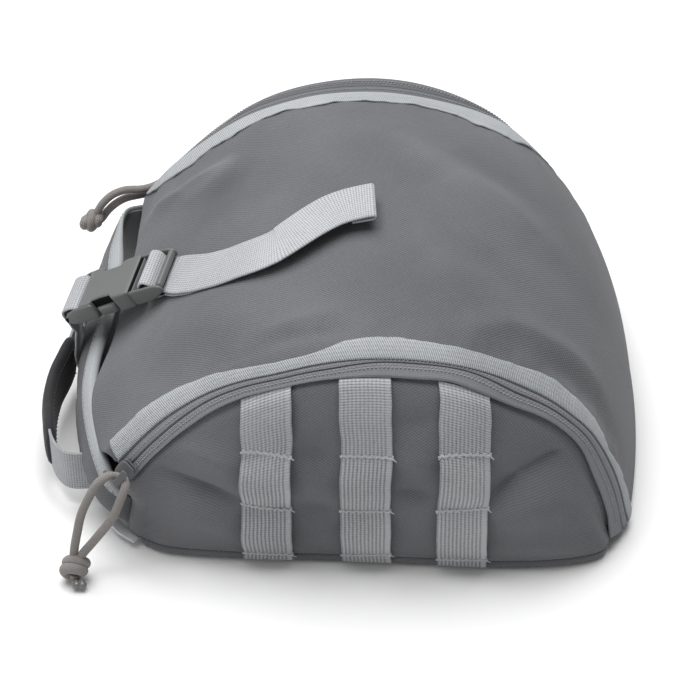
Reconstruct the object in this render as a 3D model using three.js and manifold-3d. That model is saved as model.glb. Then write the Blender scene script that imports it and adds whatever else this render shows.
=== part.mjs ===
// Helmet bag of grey cloth that rests on its flat base.
// Millimetres, +Z up. +X points at the closed end, -X at the mouth, -Y at the front side panel.
import * as THREE from 'three';
import { mergeVertices } from 'three/addons/utils/BufferGeometryUtils.js';
import Module from 'manifold-3d';

const wasm = await Module();
wasm.setup();

// Cloth walls and gaps
const PANEL_WALL = 2.5;
const SIDE_WALL = 2;
const FLAP_WALL = 2;
const TAPE_WALL = 1;
const WEBBING_WALL = 1.4;
const WEBBING_WIDTH = 25.4;
const GAP = 0.3;

// Rolled edge between the domed panel and a side panel, measured along the cloth
const TRIM_WIDTH = 8.2;
const ROLL_LENGTH = 20;
const ROLL_TURN = THREE.MathUtils.degToRad(40);
const TRIM_FROM = 0.02;
const COIL_AT = 12.8;
const COIL_RISE = 0.8;

// Mouth end
const MOUTH_BULGE = 8.5;
const BULGE_CENTRE = -0.6;
const BULGE_WIDTH = 0.38;
const MOUTH_FADE = 0.3;

// Base
const SEAM_HEIGHT = 6.5;
const BASE_WALL = 2.5;
const SIDE_END = 0.965;
const SIDE_GAP = 1.2;

// Side panel curve from the zip down to the base seam
const SIDE_TURN = THREE.MathUtils.degToRad(6);
const SIDE_OVERHANG = THREE.MathUtils.degToRad(12);
const SIDE_FULLNESS = 0.37;
const SIDE_STEPS = [0, 0.05, 0.2, 0.4, 0.6, 0.8, 1];

// Upright webbing strips
const STRIP_RISE = 1;
const STRIP_TOP = { front: 0.01, rear: 0.25 };
const stripRows = [
  { top: -52.5, foot: -54.5 },
  { top: -4, foot: -4 },
  { top: 44.5, foot: 44.5 },
];

// Pull cords
const CORD_RADIUS = 2;

// Front seam line of the domed panel from the mouth to the closed end, with the base edge below it
const rimRows = [
  { x: -134, z: 60, half: 102, crown: 1, roll: 30, baseX: -119, baseY: 113 },
  { x: -107, z: 89, half: 101, crown: 1, roll: 24, baseX: -104, baseY: 119.5 },
  { x: -67, z: 114, half: 100, crown: 4, roll: 18, baseX: -66, baseY: 123.5 },
  { x: -22, z: 129, half: 100, crown: 8, roll: 14, baseX: -22, baseY: 125 },
  { x: 22, z: 128, half: 100, crown: 12, roll: 14, baseX: 22, baseY: 127.5 },
  { x: 65, z: 113, half: 100, crown: 14, roll: 14, baseX: 62, baseY: 130 },
  { x: 101, z: 87, half: 100, crown: 14, roll: 14, baseX: 95, baseY: 128.5 },
  { x: 122, z: 48, half: 99, crown: 12, roll: 14, baseX: 115, baseY: 123.5 },
  { x: 132.5, z: 7.4, half: 97, crown: 9.5, roll: 14, baseX: 121, baseY: 116 },
];

// Rear seam line, as shifts from the front one
const rearRows = [
  { x: 5, z: 5, half: 100, roll: 24 },
  { x: -2, z: 1, half: 97, roll: 8 },
  { x: 0, z: 8, half: 94, roll: -12 },
  { x: 0, z: 7, half: 92, roll: -20 },
  { x: 0, z: 6.5, half: 92, roll: -20 },
  { x: 0, z: 4.5, half: 92, roll: -12 },
  { x: -2, z: 1.5, half: 94, roll: 14 },
  { x: -1, z: 1, half: 97, roll: 32 },
  { x: 0, z: 0, half: 97, roll: 30 },
];

// Flap sections from the front corner to the rear corner: base edge, belly and free edge
const flapRows = [
  { bx: -120, by: -111, mx: -122.5, my: -112, mz: 12, tx: -124.5, ty: -112.5, tz: 18 },
  { bx: -125, by: -102, mx: -137, my: -108, mz: 21, tx: -136, ty: -110, tz: 39 },
  { bx: -131, by: -86, mx: -149, my: -90, mz: 25, tx: -144, ty: -92, tz: 48 },
  { bx: -136, by: -58, mx: -155.5, my: -58, mz: 27, tx: -149.5, ty: -58, tz: 50.5 },
  { bx: -138, by: -25, mx: -158.5, my: -26, mz: 28, tx: -148, ty: -27, tz: 52 },
  { bx: -139, by: 10, mx: -159, my: 10, mz: 29, tx: -143, ty: 10, tz: 54 },
  { bx: -138, by: 45, mx: -158, my: 47, mz: 30, tx: -141, ty: 47, tz: 54.5 },
  { bx: -134, by: 75, mx: -153, my: 77, mz: 31, tx: -142.5, ty: 78, tz: 53.5 },
  { bx: -127, by: 99, mx: -143.5, my: 103, mz: 30, tx: -141.5, ty: 105, tz: 51 },
  { bx: -120, by: 111, mx: -124, my: 113.5, mz: 14, tx: -127, ty: 114, tz: 22 },
];

// Carry handle in plan
const handleRows = [
  { x: -153.2, y: -82 },
  { x: -157, y: -80.5 },
  { x: -163.5, y: -76 },
  { x: -168.5, y: -66.5 },
  { x: -171.5, y: -52 },
  { x: -173, y: -34 },
  { x: -171.8, y: -16 },
  { x: -168.4, y: -1 },
  { x: -165.3, y: 14 },
  { x: -163.5, y: 30 },
  { x: -161.6, y: 45 },
  { x: -158.6, y: 57 },
];
const HANDLE_HEIGHT = 24;

// Loose tail of the closing strap: plan position and height above the domed panel
const tailRows = [
  { x: -98, y: -13.5, lift: 5 },
  { x: -90, y: -18, lift: 4.8 },
  { x: -71, y: -28, lift: 5 },
  { x: -54, y: -32, lift: 6.5 },
  { x: -43, y: -31, lift: 8 },
  { x: -22, y: -23.5, lift: 8.5 },
  { x: -10, y: -20, lift: 8 },
  { x: 2.5, y: -18.5, lift: 7.5 },
];

// Sewn end of the closing strap, under the tail
const anchorRows = [
  { x: -86, y: -19.5, lift: 2.9 },
  { x: -92, y: -16.5, lift: 2.9 },
  { x: -99, y: -13, lift: 2.9 },
];

// Cord loops: one leg from the knot to the pull ring, the other back from the ring to the knot
const frontLegs = [
  [
    { x: -149, y: -131.8, z: 13.2 },
    { x: -146, y: -131.5, z: 24 },
    { x: -142, y: -130, z: 37 },
    { x: -138.4, y: -126.5, z: 46.5 },
    { x: -133.2, y: -122.4, z: 51.6 },
  ],
  [
    { x: -119.8, y: -123.6, z: 57 },
    { x: -121.6, y: -128.8, z: 51.5 },
    { x: -129.6, y: -131.8, z: 42.6 },
    { x: -135.5, y: -132.6, z: 35 },
    { x: -141.3, y: -133.5, z: 24 },
    { x: -144.8, y: -134, z: 15.8 },
  ],
];
const rearLegs = [
  [
    { x: -158.6, y: 107.3, z: 49.2 },
    { x: -154.3, y: 108.2, z: 55.5 },
    { x: -148.5, y: 110, z: 60 },
    { x: -140.5, y: 113, z: 62 },
    { x: -132.5, y: 116.3, z: 59.6 },
  ],
  [
    { x: -116.4, y: 121, z: 62.4 },
    { x: -116.2, y: 125.5, z: 58 },
    { x: -122, y: 127.5, z: 54.6 },
    { x: -131.5, y: 123, z: 54 },
    { x: -141.5, y: 117.5, z: 54.5 },
    { x: -148.5, y: 114.2, z: 51.2 },
    { x: -154, y: 112.2, z: 45.8 },
  ],
];
const KNOT_FRONT = { x: -152, y: -136, z: 7 };
const KNOT_REAR = { x: -161, y: 107.5, z: 41.2 };
const SLIDER_AT = 0.006;
const RING_BACK = -4;
const RING_DROP = 6.5;
const RING_HEIGHT = 3.9;

// Buckle place: outer bar of the female half and the far end of the male half
const BUCKLE_START = new THREE.Vector3(-160.5, 7, 64.5);
const BUCKLE_END = new THREE.Vector3(-109, -9, 99.5);
const BUCKLE_FACE = new THREE.Vector3(-0.55, 0, 0.83);
const BUCKLE_WIDTH = 33;
const BUCKLE_DEPTH = 11;

const vec = (x, y, z) => new THREE.Vector3(x, y, z);
const lerp = THREE.MathUtils.lerp;

// Value of one table column at u from 0 to 1, by a smooth curve through the rows
function along(rows, key, u) {
  const s = THREE.MathUtils.clamp(u, 0, 1) * (rows.length - 1);
  const i = Math.min(Math.floor(s), rows.length - 2);
  const f = s - i;
  const p1 = rows[i][key];
  const p2 = rows[i + 1][key];
  const p0 = i > 0 ? rows[i - 1][key] : 2 * p1 - p2;
  const p3 = i + 2 < rows.length ? rows[i + 2][key] : 2 * p2 - p1;
  const a = 2 * p0 - 5 * p1 + 4 * p2 - p3;
  const b = 3 * p1 - p0 - 3 * p2 + p3;
  return 0.5 * (2 * p1 + (p2 - p0) * f + a * f * f + b * f * f * f);
}

function mouthFade(u) {
  return Math.max(0, 1 - u / MOUTH_FADE) ** 2;
}

// Outward direction of the seam line in its XZ plane, level at the closed end
function rimNormal(u) {
  const e = 1e-3;
  const tx = along(rimRows, 'x', u + e) - along(rimRows, 'x', u - e);
  const tz = along(rimRows, 'z', u + e) - along(rimRows, 'z', u - e);
  return vec(-tz, 0, tx * (1 - u ** 6)).normalize();
}

// Domed panel: t runs from -1 on the front seam line to 1 on the rear one
function panelPoint(u, t) {
  const rear = (t + 1) / 2;
  const bump = MOUTH_BULGE * Math.exp(-(((t - BULGE_CENTRE) / BULGE_WIDTH) ** 2)) * (1 - t ** 4);
  const p = vec(
    along(rimRows, 'x', u) + along(rearRows, 'x', u) * rear - bump * mouthFade(u),
    lerp(-along(rimRows, 'half', u), along(rearRows, 'half', u), rear),
    along(rimRows, 'z', u) + along(rearRows, 'z', u) * rear,
  );
  return p.addScaledVector(rimNormal(u), along(rimRows, 'crown', u) * (1 - t * t));
}

function rollStart(u, side) {
  return THREE.MathUtils.degToRad(along(side < 0 ? rimRows : rearRows, 'roll', u));
}

// Rolled edge: an arc that leaves the seam line, q is the distance along the cloth
function rollPoint(u, side, q) {
  const k = ROLL_TURN / ROLL_LENGTH;
  const start = rollStart(u, side);
  const phi = start + k * q;
  const p = panelPoint(u, side);
  p.y += (side * (Math.sin(phi) - Math.sin(start))) / k;
  return p.addScaledVector(rimNormal(u), -(Math.cos(start) - Math.cos(phi)) / k);
}

// Side panel: w runs from 0 under the zip to 1 at the base seam
function sidePoint(u, side, w) {
  const top = rollPoint(u, side, ROLL_LENGTH + SIDE_GAP);
  const foot = vec(along(rimRows, 'baseX', u), side * along(rimRows, 'baseY', u), SEAM_HEIGHT + 2.5 * GAP);
  const reach = top.distanceTo(foot) * SIDE_FULLNESS;
  const phi = rollStart(u, side) + ROLL_TURN + SIDE_TURN;
  const leave = vec(0, side * Math.cos(phi), 0).addScaledVector(rimNormal(u), -Math.sin(phi));
  const arrive = vec(0, side * Math.sin(SIDE_OVERHANG), Math.cos(SIDE_OVERHANG));
  const c1 = top.clone().addScaledVector(leave, reach * Math.sin(phi));
  const c2 = foot.clone().addScaledVector(arrive, reach);
  return new THREE.CubicBezierCurve3(top, c1, c2, foot).getPoint(w);
}

// Flap: v runs from the front corner to the rear corner, w from the base to the free edge
function flapPoint(v, w) {
  const at = (key) => along(flapRows, key, v);
  const foot = vec(at('bx'), at('by'), SEAM_HEIGHT + GAP);
  const belly = vec(at('mx'), at('my'), at('mz'));
  const edge = vec(at('tx'), at('ty'), at('tz'));
  const control = belly.multiplyScalar(2).addScaledVector(foot, -0.5).addScaledVector(edge, -0.5);
  return new THREE.QuadraticBezierCurve3(foot, control, edge).getPoint(w);
}

// Height of the domed panel above a plan point
function panelHeight(x, y) {
  const across = (u) => {
    const front = along(rimRows, 'half', u);
    return (2 * (y + front)) / (front + along(rearRows, 'half', u)) - 1;
  };
  let low = 0;
  let high = 1;
  for (let k = 0; k < 40; k += 1) {
    const mid = (low + high) / 2;
    if (panelPoint(mid, across(mid)).x < x) low = mid;
    else high = mid;
  }
  return panelPoint(low, across(low)).z;
}

// Upward direction square to the domed panel above a plan point
function panelUp(x, y) {
  const slopeX = (panelHeight(x + 1, y) - panelHeight(x - 1, y)) / 2;
  const slopeY = (panelHeight(x, y + 1) - panelHeight(x, y - 1)) / 2;
  return vec(-slopeX, -slopeY, 1).normalize();
}

// Section parameter where the side panel crosses a given x at a given w
function sideSection(x, side, w) {
  let low = 0;
  let high = SIDE_END;
  for (let k = 0; k < 40; k += 1) {
    const mid = (low + high) / 2;
    if (sidePoint(mid, side, w).x < x) low = mid;
    else high = mid;
  }
  return low;
}

function indexed(points, faces) {
  const geometry = new THREE.BufferGeometry();
  const flat = points.flatMap((p) => [p.x, p.y, p.z]);
  geometry.setAttribute('position', new THREE.Float32BufferAttribute(flat, 3));
  geometry.setIndex(faces);
  geometry.computeVertexNormals();
  return geometry;
}

// Unit normals of a grid of points, from its neighbours in both directions
function gridNormals(grid) {
  return grid.map((row, i) => row.map((p, j) => {
    const ahead = grid[Math.min(i + 1, grid.length - 1)][j];
    const behind = grid[Math.max(i - 1, 0)][j];
    const right = row[Math.min(j + 1, row.length - 1)];
    const left = row[Math.max(j - 1, 0)];
    const du = ahead.clone().sub(behind);
    return du.cross(right.clone().sub(left)).normalize();
  }));
}

// Closed wall over a grid of points: share of the thickness outside the grid is given by bias
function wall(grid, thickness, bias = 0) {
  const normals = gridNormals(grid);
  const rows = grid.length;
  const cols = grid[0].length;
  const points = [];
  for (const offset of [bias * thickness, (bias - 1) * thickness]) {
    grid.forEach((row, i) => row.forEach((p, j) => {
      points.push(p.clone().addScaledVector(normals[i][j], offset));
    }));
  }
  const at = (layer, i, j) => layer * rows * cols + i * cols + j;
  const faces = [];
  const quad = (a, b, c, d) => faces.push(a, b, c, a, c, d);
  for (let i = 0; i + 1 < rows; i += 1) {
    for (let j = 0; j + 1 < cols; j += 1) {
      quad(at(0, i, j), at(0, i + 1, j), at(0, i + 1, j + 1), at(0, i, j + 1));
      quad(at(1, i, j), at(1, i, j + 1), at(1, i + 1, j + 1), at(1, i + 1, j));
    }
    quad(at(0, i, 0), at(1, i, 0), at(1, i + 1, 0), at(0, i + 1, 0));
    const j = cols - 1;
    quad(at(0, i, j), at(0, i + 1, j), at(1, i + 1, j), at(1, i, j));
  }
  for (let j = 0; j + 1 < cols; j += 1) {
    quad(at(0, 0, j), at(0, 0, j + 1), at(1, 0, j + 1), at(1, 0, j));
    const i = rows - 1;
    quad(at(0, i, j), at(1, i, j), at(1, i, j + 1), at(0, i, j + 1));
  }
  return indexed(points, faces);
}

// Solid over rings of equal count: ends are closed with a fan, or the last ring joins the first
function loft(rings, joined = false) {
  const count = rings[0].length;
  const points = rings.flat();
  const faces = [];
  const last = joined ? rings.length : rings.length - 1;
  for (let i = 0; i < last; i += 1) {
    const here = i * count;
    const next = ((i + 1) % rings.length) * count;
    for (let j = 0; j < count; j += 1) {
      const k = (j + 1) % count;
      faces.push(here + j, here + k, next + k, here + j, next + k, next + j);
    }
  }
  if (!joined) {
    for (const [ring, turn] of [[0, true], [rings.length - 1, false]]) {
      const centre = rings[ring].reduce((sum, p) => sum.add(p), vec(0, 0, 0)).divideScalar(count);
      const hub = points.push(centre) - 1;
      for (let j = 0; j < count; j += 1) {
        const a = ring * count + j;
        const b = ring * count + ((j + 1) % count);
        if (turn) faces.push(hub, b, a);
        else faces.push(hub, a, b);
      }
    }
  }
  return indexed(points, faces);
}

// Webbing along a path: each station has a point and the direction of the webbing's width
function ribbon(stations, width, thickness) {
  const grid = stations.map(({ p, across }) => [
    p.clone().addScaledVector(across, -width / 2),
    p.clone().addScaledVector(across, width / 2),
  ]);
  return wall(grid, thickness, 0.5);
}

// Points spread evenly over a table of plan or space points
function sample(rows, keys, count) {
  const spread = [];
  for (let i = 0; i < count; i += 1) {
    const u = i / (count - 1);
    spread.push(Object.fromEntries(keys.map((key) => [key, along(rows, key, u)])));
  }
  return spread;
}

const steps = (count, from = 0, to = 1) => {
  const list = [];
  for (let i = 0; i <= count; i += 1) list.push(lerp(from, to, i / count));
  return list;
};

const group = new THREE.Group();
group.name = 'helmet_bag';

function add(name, geometry, colour, roughness = 0.9) {
  const material = new THREE.MeshStandardMaterial({ color: colour, roughness });
  const mesh = new THREE.Mesh(geometry, material);
  mesh.name = name;
  group.add(mesh);
}

const CLOTH = 0x75777a;
const POCKET = 0x5c5d61;
const TRIM = 0xb0b3b6;
const WEBBING = 0xa3a6a9;
const ZIP = 0x4c4d50;
const BUCKLE = 0x58595b;
const SLEEVE = 0x3c3d40;
const CORD = 0x857f7c;

const facing = (side, row) => (side < 0 ? row.slice().reverse() : row);

// Domed panel with its two rolled edges
const panelGrid = steps(32).map((u) => [
  ...[TRIM_WIDTH - GAP / 2, TRIM_WIDTH / 2].map((q) => rollPoint(u, -1, q)),
  ...steps(10, -1, 1).map((t) => panelPoint(u, t)),
  ...[TRIM_WIDTH / 2, TRIM_WIDTH - GAP / 2].map((q) => rollPoint(u, 1, q)),
]);
add('main_panel', wall(panelGrid, PANEL_WALL), CLOTH);

for (const [side, place] of [[-1, 'front'], [1, 'rear']]) {
  // Trim tape lies just above the rolled edge of the domed panel
  const trimRow = (u) => [0.2, TRIM_WIDTH].map((q) => rollPoint(u, side, q));
  const trimGrid = steps(32, TRIM_FROM, 1).map((u) => facing(side, trimRow(u)));
  const trimNormals = gridNormals(trimGrid);
  const raised = trimGrid.map((row, i) => row.map((p, j) => p.addScaledVector(trimNormals[i][j], 2.5 * GAP)));
  add(`trim_tape_${place}`, wall(raised, TAPE_WALL, 1), TRIM);

  // Zip tapes with the closed coil as a ridge
  const zipGrid = steps(32).map((u) => facing(side, [
    [TRIM_WIDTH + 2 * GAP, 0],
    [COIL_AT - 1.6, 0],
    [COIL_AT, COIL_RISE],
    [COIL_AT + 1.6, 0],
    [ROLL_LENGTH, 0],
  ].map(([q, rise]) => {
    const p = rollPoint(u, side, q);
    p.y += side * rise * 0.5;
    return p.addScaledVector(rimNormal(u), rise * 0.87);
  })));
  add(`zip_${place}`, wall(zipGrid, SIDE_WALL), ZIP);

  const sideRow = (u) => SIDE_STEPS.map((w) => sidePoint(u, side, w));
  const sideGrid = steps(24, 0, SIDE_END).map((u) => facing(side, sideRow(u)));
  add(`side_panel_${place}`, wall(sideGrid, SIDE_WALL), POCKET);

  // Upright webbing strips stand off a little between their bar tacks
  stripRows.forEach(({ top, foot }, number) => {
    const stripPoint = (w, edge) => {
      const onSide = Math.min(w, 1);
      const x = lerp(top, foot, onSide) + edge * WEBBING_WIDTH;
      const p = sidePoint(sideSection(x, side, onSide), side, onSide);
      const out = w > 1 ? 0 : STRIP_RISE * Math.sin(Math.PI * 3 * onSide) ** 2;
      p.y += side * (GAP + 0.6 + out);
      if (w > 1) p.z = 3.2;
      if (w < 0.4) p.z += (0.4 - w) * 1.6;
      return p;
    };
    const stripRow = (w) => [-0.5, 0.5].map((edge) => stripPoint(w, edge));
    const stripGrid = [...steps(13, STRIP_TOP[place], 1), 2].map((w) => facing(-side, stripRow(w)));
    add(`webbing_${place}_${number + 1}`, wall(stripGrid, WEBBING_WALL, 1), WEBBING);
  });
}

// Base panel: flat, with a turned-up seam edge that follows the feet of the walls above it
const outline = [
  ...steps(16, 0, 0.94).map((u) => sidePoint(u, -1, 1)),
  ...[20, 10].map((q) => rollPoint(1, -1, q)),
  ...steps(8, -1, 1).map((t) => panelPoint(1, t)),
  ...[10, 20].map((q) => rollPoint(1, 1, q)),
  ...steps(16, 0.94, 0).map((u) => sidePoint(u, 1, 1)),
  ...steps(13, 0.985, 0.015).map((v) => flapPoint(v, 0)),
];
const baseRing = (inset, z) => outline.map((p) => {
  const share = 1 - inset / Math.hypot(p.x, p.y);
  return vec(p.x * share, p.y * share, z);
});
const baseRings = [
  baseRing(5, 0),
  baseRing(1.4, 1),
  baseRing(0, 3.6),
  baseRing(0, SEAM_HEIGHT),
  baseRing(BASE_WALL, SEAM_HEIGHT),
  baseRing(BASE_WALL + 0.4, 4.2),
  baseRing(7, BASE_WALL),
];
add('base_panel', loft(baseRings), POCKET);

// End flap and its folded binding
const flapGrid = steps(6).map((w) => steps(30).map((v) => flapPoint(v, w)));
add('end_flap', wall(flapGrid, FLAP_WALL), CLOTH);

const bindingProfile = [
  [0.6, -7],
  [1.5, -7],
  [1.5, 1.2],
  [0.6, 1.8],
  [-FLAP_WALL - 0.6, 1.8],
  [-FLAP_WALL - 1.5, 1.2],
  [-FLAP_WALL - 1.5, -5],
  [-FLAP_WALL - 0.6, -5],
  [-FLAP_WALL - 0.6, 0.8],
  [0.6, 0.8],
];
const flapNormals = gridNormals(flapGrid);
const bindingRings = steps(28, 1, 29).map((step) => {
  const i = Math.round(step);
  const v = i / 30;
  const edge = flapPoint(v, 1);
  const out = flapNormals[flapNormals.length - 1][i];
  const rise = edge.clone().sub(flapPoint(v, 0.85)).normalize();
  const reach = THREE.MathUtils.clamp(edge.distanceTo(flapPoint(v, 0)) / 36 - 0.3, 0.3, 1);
  return bindingProfile.map(([n, r]) => {
    const drop = r < 0 ? r * reach : r;
    return edge.clone().addScaledVector(out, n).addScaledVector(rise, drop);
  });
});

// Solid over open rings whose ends are closed with a given list of corner triples
function sweep(rings, cap) {
  const count = rings[0].length;
  const points = rings.flat();
  const faces = [];
  for (let i = 0; i + 1 < rings.length; i += 1) {
    for (let j = 0; j < count; j += 1) {
      const k = (j + 1) % count;
      const here = i * count;
      const next = here + count;
      faces.push(here + j, here + k, next + k, here + j, next + k, next + j);
    }
  }
  const end = (rings.length - 1) * count;
  cap.forEach(([a, b, c]) => {
    faces.push(a, c, b);
    faces.push(end + a, end + b, end + c);
  });
  return indexed(points, faces);
}
const bindingCorners = bindingProfile.map(([n, r]) => new THREE.Vector2(n, r));
const bindingCap = THREE.ShapeUtils.triangulateShape(bindingCorners, []);
add('flap_binding', sweep(bindingRings, bindingCap), TRIM);

// Buckle frame: length, width and thickness directions
const buckleLength = BUCKLE_END.clone().sub(BUCKLE_START).normalize();
const buckleAcross = BUCKLE_FACE.clone().cross(buckleLength).normalize();
const buckleUp = buckleLength.clone().cross(buckleAcross);
const buckleFrame = new THREE.Matrix4().makeBasis(buckleLength, buckleAcross, buckleUp);
buckleFrame.setPosition(BUCKLE_START);

function roundedShape(x0, x1, halfWidth, corner) {
  const shape = new THREE.Shape();
  shape.moveTo(x0 + corner, -halfWidth);
  shape.lineTo(x1 - corner, -halfWidth);
  shape.quadraticCurveTo(x1, -halfWidth, x1, -halfWidth + corner);
  shape.lineTo(x1, halfWidth - corner);
  shape.quadraticCurveTo(x1, halfWidth, x1 - corner, halfWidth);
  shape.lineTo(x0 + corner, halfWidth);
  shape.quadraticCurveTo(x0, halfWidth, x0, halfWidth - corner);
  shape.lineTo(x0, -halfWidth + corner);
  shape.quadraticCurveTo(x0, -halfWidth, x0 + corner, -halfWidth);
  return shape;
}

const box = (x0, x1, halfWidth, low, high) => solid(plate(polygon([
  [x0, -halfWidth],
  [x1, -halfWidth],
  [x1, halfWidth],
  [x0, halfWidth],
]), low, high, 0));

function plate(shape, low, high, bevel) {
  const depth = high - low - 2 * bevel;
  const geometry = new THREE.ExtrudeGeometry(shape, {
    depth,
    curveSegments: 3,
    bevelEnabled: bevel > 0,
    bevelThickness: bevel,
    bevelSize: bevel,
    bevelOffset: -bevel,
    bevelSegments: 1,
  });
  return geometry.translate(0, 0, low + bevel);
}

function polygon(corners) {
  return new THREE.Shape(corners.map(([x, y]) => new THREE.Vector2(x, y)));
}

function solid(geometry) {
  const bare = new THREE.BufferGeometry();
  const open = geometry.index ? geometry.toNonIndexed() : geometry;
  bare.setAttribute('position', open.getAttribute('position'));
  const merged = mergeVertices(bare, 1e-4);
  return new wasm.Manifold(new wasm.Mesh({
    numProp: 3,
    vertProperties: merged.attributes.position.array,
    triVerts: new Uint32Array(merged.index.array),
  }));
}

function meshOf(body) {
  const mesh = body.getMesh();
  const geometry = new THREE.BufferGeometry();
  geometry.setAttribute('position', new THREE.Float32BufferAttribute(mesh.vertProperties, 3));
  geometry.setIndex(Array.from(mesh.triVerts));
  geometry.computeVertexNormals();
  return geometry;
}

// Female half: hollow body with side windows and the bar for the flap's webbing
const half = BUCKLE_WIDTH / 2;
const bar = solid(plate(roundedShape(0, 11, half - 0.6, 3), -3, 3, 0.8));
const female = solid(plate(roundedShape(8.5, 36, half, 3), -BUCKLE_DEPTH / 2, BUCKLE_DEPTH / 2, 1.2))
  .add(bar)
  .subtract(box(4, 9, 13.4, -8, 8))
  .subtract(box(12, 38, 13, -2.7, 2.7))
  .subtract(box(14, 27, 20, -2.7, 2.7));
add('buckle_female', meshOf(female).applyMatrix4(buckleFrame), BUCKLE, 0.55);

// Male half: shoulder, two prongs and the ladder frame that grips the strap
const ladder = solid(plate(roundedShape(42, 64, half, 3.5), -3.5, 3.5, 0.8));
const prong = (side) => solid(plate(polygon([
  [37, 7.5 * side],
  [37, 12.4 * side],
  [26.8, 12.4 * side],
  [24.6, 15.6 * side],
  [17, 15 * side],
  [15, 12.6 * side],
  [16, 9.5 * side],
  [27, 8.6 * side],
]), -2.2, 2.2, 0));
const male = solid(plate(roundedShape(36.4, 44.6, half - 0.4, 1.6), -5, 5, 1))
  .add(ladder)
  .add(prong(1))
  .add(prong(-1))
  .add(box(20, 38, 2, -2, 2))
  .subtract(box(44.6, 50, 13.4, -8, 8))
  .subtract(box(54, 59.4, 13.4, -8, 8))
  .subtract(box(58.6, 66, 13.4, -5, -0.9));
add('buckle_male', meshOf(male).applyMatrix4(buckleFrame), BUCKLE, 0.55);

const inBuckle = (length, height) => vec(length, 0, height).applyMatrix4(buckleFrame);

// Closing strap: sewn end, up through the ladder, over its bar, down again and out as the tail
function onPanel({ x, y, lift }) {
  return vec(x, y, panelHeight(x, y) + lift);
}
const anchorPoints = sample(anchorRows, ['x', 'y', 'lift'], 4).map(onPanel);
const threadPoints = [
  [62, -4.7],
  [54, -4.7],
  [49.4, -4.7],
  [47.2, -2.6],
  [46.8, 1],
  [48, 3.8],
  [50.2, 5.1],
  [53.8, 5.1],
  [56, 3.8],
  [57, 1],
  [57.8, -1.2],
  [60.2, -2.3],
  [64, -2.4],
].map(([length, height]) => inBuckle(length, height));
const tailPoints = sample(tailRows, ['x', 'y', 'lift'], 16).map(onPanel);
const strapPoints = [...anchorPoints, ...threadPoints, ...tailPoints];
const tailFrom = anchorPoints.length + threadPoints.length;
const strapStations = strapPoints.map((p, i) => {
  if (i >= anchorPoints.length && i < tailFrom) return { p, across: buckleAcross };
  const behind = strapPoints[i === 0 ? 0 : i - 1];
  const ahead = strapPoints[Math.min(i + 1, strapPoints.length - 1)];
  const way = ahead.clone().sub(behind);
  if (i < tailFrom) way.negate();
  return { p, across: panelUp(p.x, p.y).cross(way).normalize() };
});
add('closing_strap', ribbon(strapStations, WEBBING_WIDTH, WEBBING_WALL), WEBBING);

// Webbing loop from the flap round the bar of the female half
const flapStation = (w, lift) => {
  const v = 0.555;
  const p = flapPoint(v, w);
  const across = flapPoint(v + 0.01, w).sub(flapPoint(v - 0.01, w)).normalize();
  const rise = flapPoint(v, w + 0.01).sub(flapPoint(v, w - 0.01));
  return { p: p.addScaledVector(rise.cross(across).normalize(), lift), across };
};
const loopStations = [
  flapStation(0.2, 1.2),
  flapStation(0.35, 1.2),
  flapStation(0.5, 1.4),
  flapStation(0.62, 2.6),
  ...[
    [-1.7, -3.4],
    [-1.7, 1.4],
    [-1, 3.6],
    [0.8, 4.5],
    [3.4, 4.5],
    [5.5, 3.6],
    [6.2, 1.4],
    [6.1, -2],
    [5, -5.4],
    [3.2, -8.6],
  ].map(([length, height]) => ({ p: inBuckle(length, height), across: buckleAcross })),
];
add('buckle_webbing', ribbon(loopStations, WEBBING_WIDTH, WEBBING_WALL), WEBBING);

// Carry handle: upright webbing with a sleeve round its middle
const handlePath = sample(handleRows, ['x', 'y'], 34).map(({ x, y }) => vec(x, y, HANDLE_HEIGHT));
const handleStations = handlePath.map((p) => ({ p, across: vec(0, 0, 1) }));
add('handle_webbing', ribbon(handleStations, WEBBING_WIDTH, WEBBING_WALL), WEBBING);

function sleeveRing(i, halfHeight, halfDepth) {
  const way = handlePath[i + 1].clone().sub(handlePath[i - 1]).normalize();
  const out = vec(-way.y, way.x, 0);
  const corner = Math.min(halfHeight, halfDepth) * 0.6;
  const turn = [
    [halfDepth, -halfHeight + corner],
    [halfDepth, halfHeight - corner],
    [halfDepth - corner, halfHeight],
    [-halfDepth + corner, halfHeight],
    [-halfDepth, halfHeight - corner],
    [-halfDepth, -halfHeight + corner],
    [-halfDepth + corner, -halfHeight],
    [halfDepth - corner, -halfHeight],
  ];
  return turn.map(([n, h]) => handlePath[i].clone().addScaledVector(out, n).add(vec(0, 0, h)));
}
const sleeveStations = steps(13, 11, 24).map(Math.round);
const sleeveOuter = sleeveStations.map((i) => sleeveRing(i, WEBBING_WIDTH / 2 + 2.4, 3.4));
const sleeveInner = sleeveStations.map((i) => sleeveRing(i, WEBBING_WIDTH / 2 + 0.9, 1.4));
add('handle_sleeve', loft([...sleeveOuter, ...sleeveInner.reverse()], true), SLEEVE);

// Small webbing end that lies under the front corner of the flap
const tabStations = [
  vec(-131.5, -100, 3),
  vec(-126, -108, 2.4),
  vec(-119.5, -115.5, 2),
].map((p) => ({ p, across: vec(-0.55, -0.45, 0.2).normalize() }));
add('corner_tab', ribbon(tabStations, 5, 1.2), TRIM);

// Zip sliders with their pull rings
function sliderFrame(side) {
  const seat = rollPoint(SLIDER_AT, side, COIL_AT);
  const way = rollPoint(SLIDER_AT + 0.02, side, COIL_AT).sub(seat).normalize();
  const ahead = rollPoint(SLIDER_AT, side, COIL_AT + 2);
  const across = ahead.sub(rollPoint(SLIDER_AT, side, COIL_AT - 2)).multiplyScalar(side);
  const up = way.clone().cross(across).normalize();
  const frame = new THREE.Matrix4().makeBasis(way, up.clone().cross(way), up);
  return frame.setPosition(seat.addScaledVector(up, COIL_RISE + 0.5));
}

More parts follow.
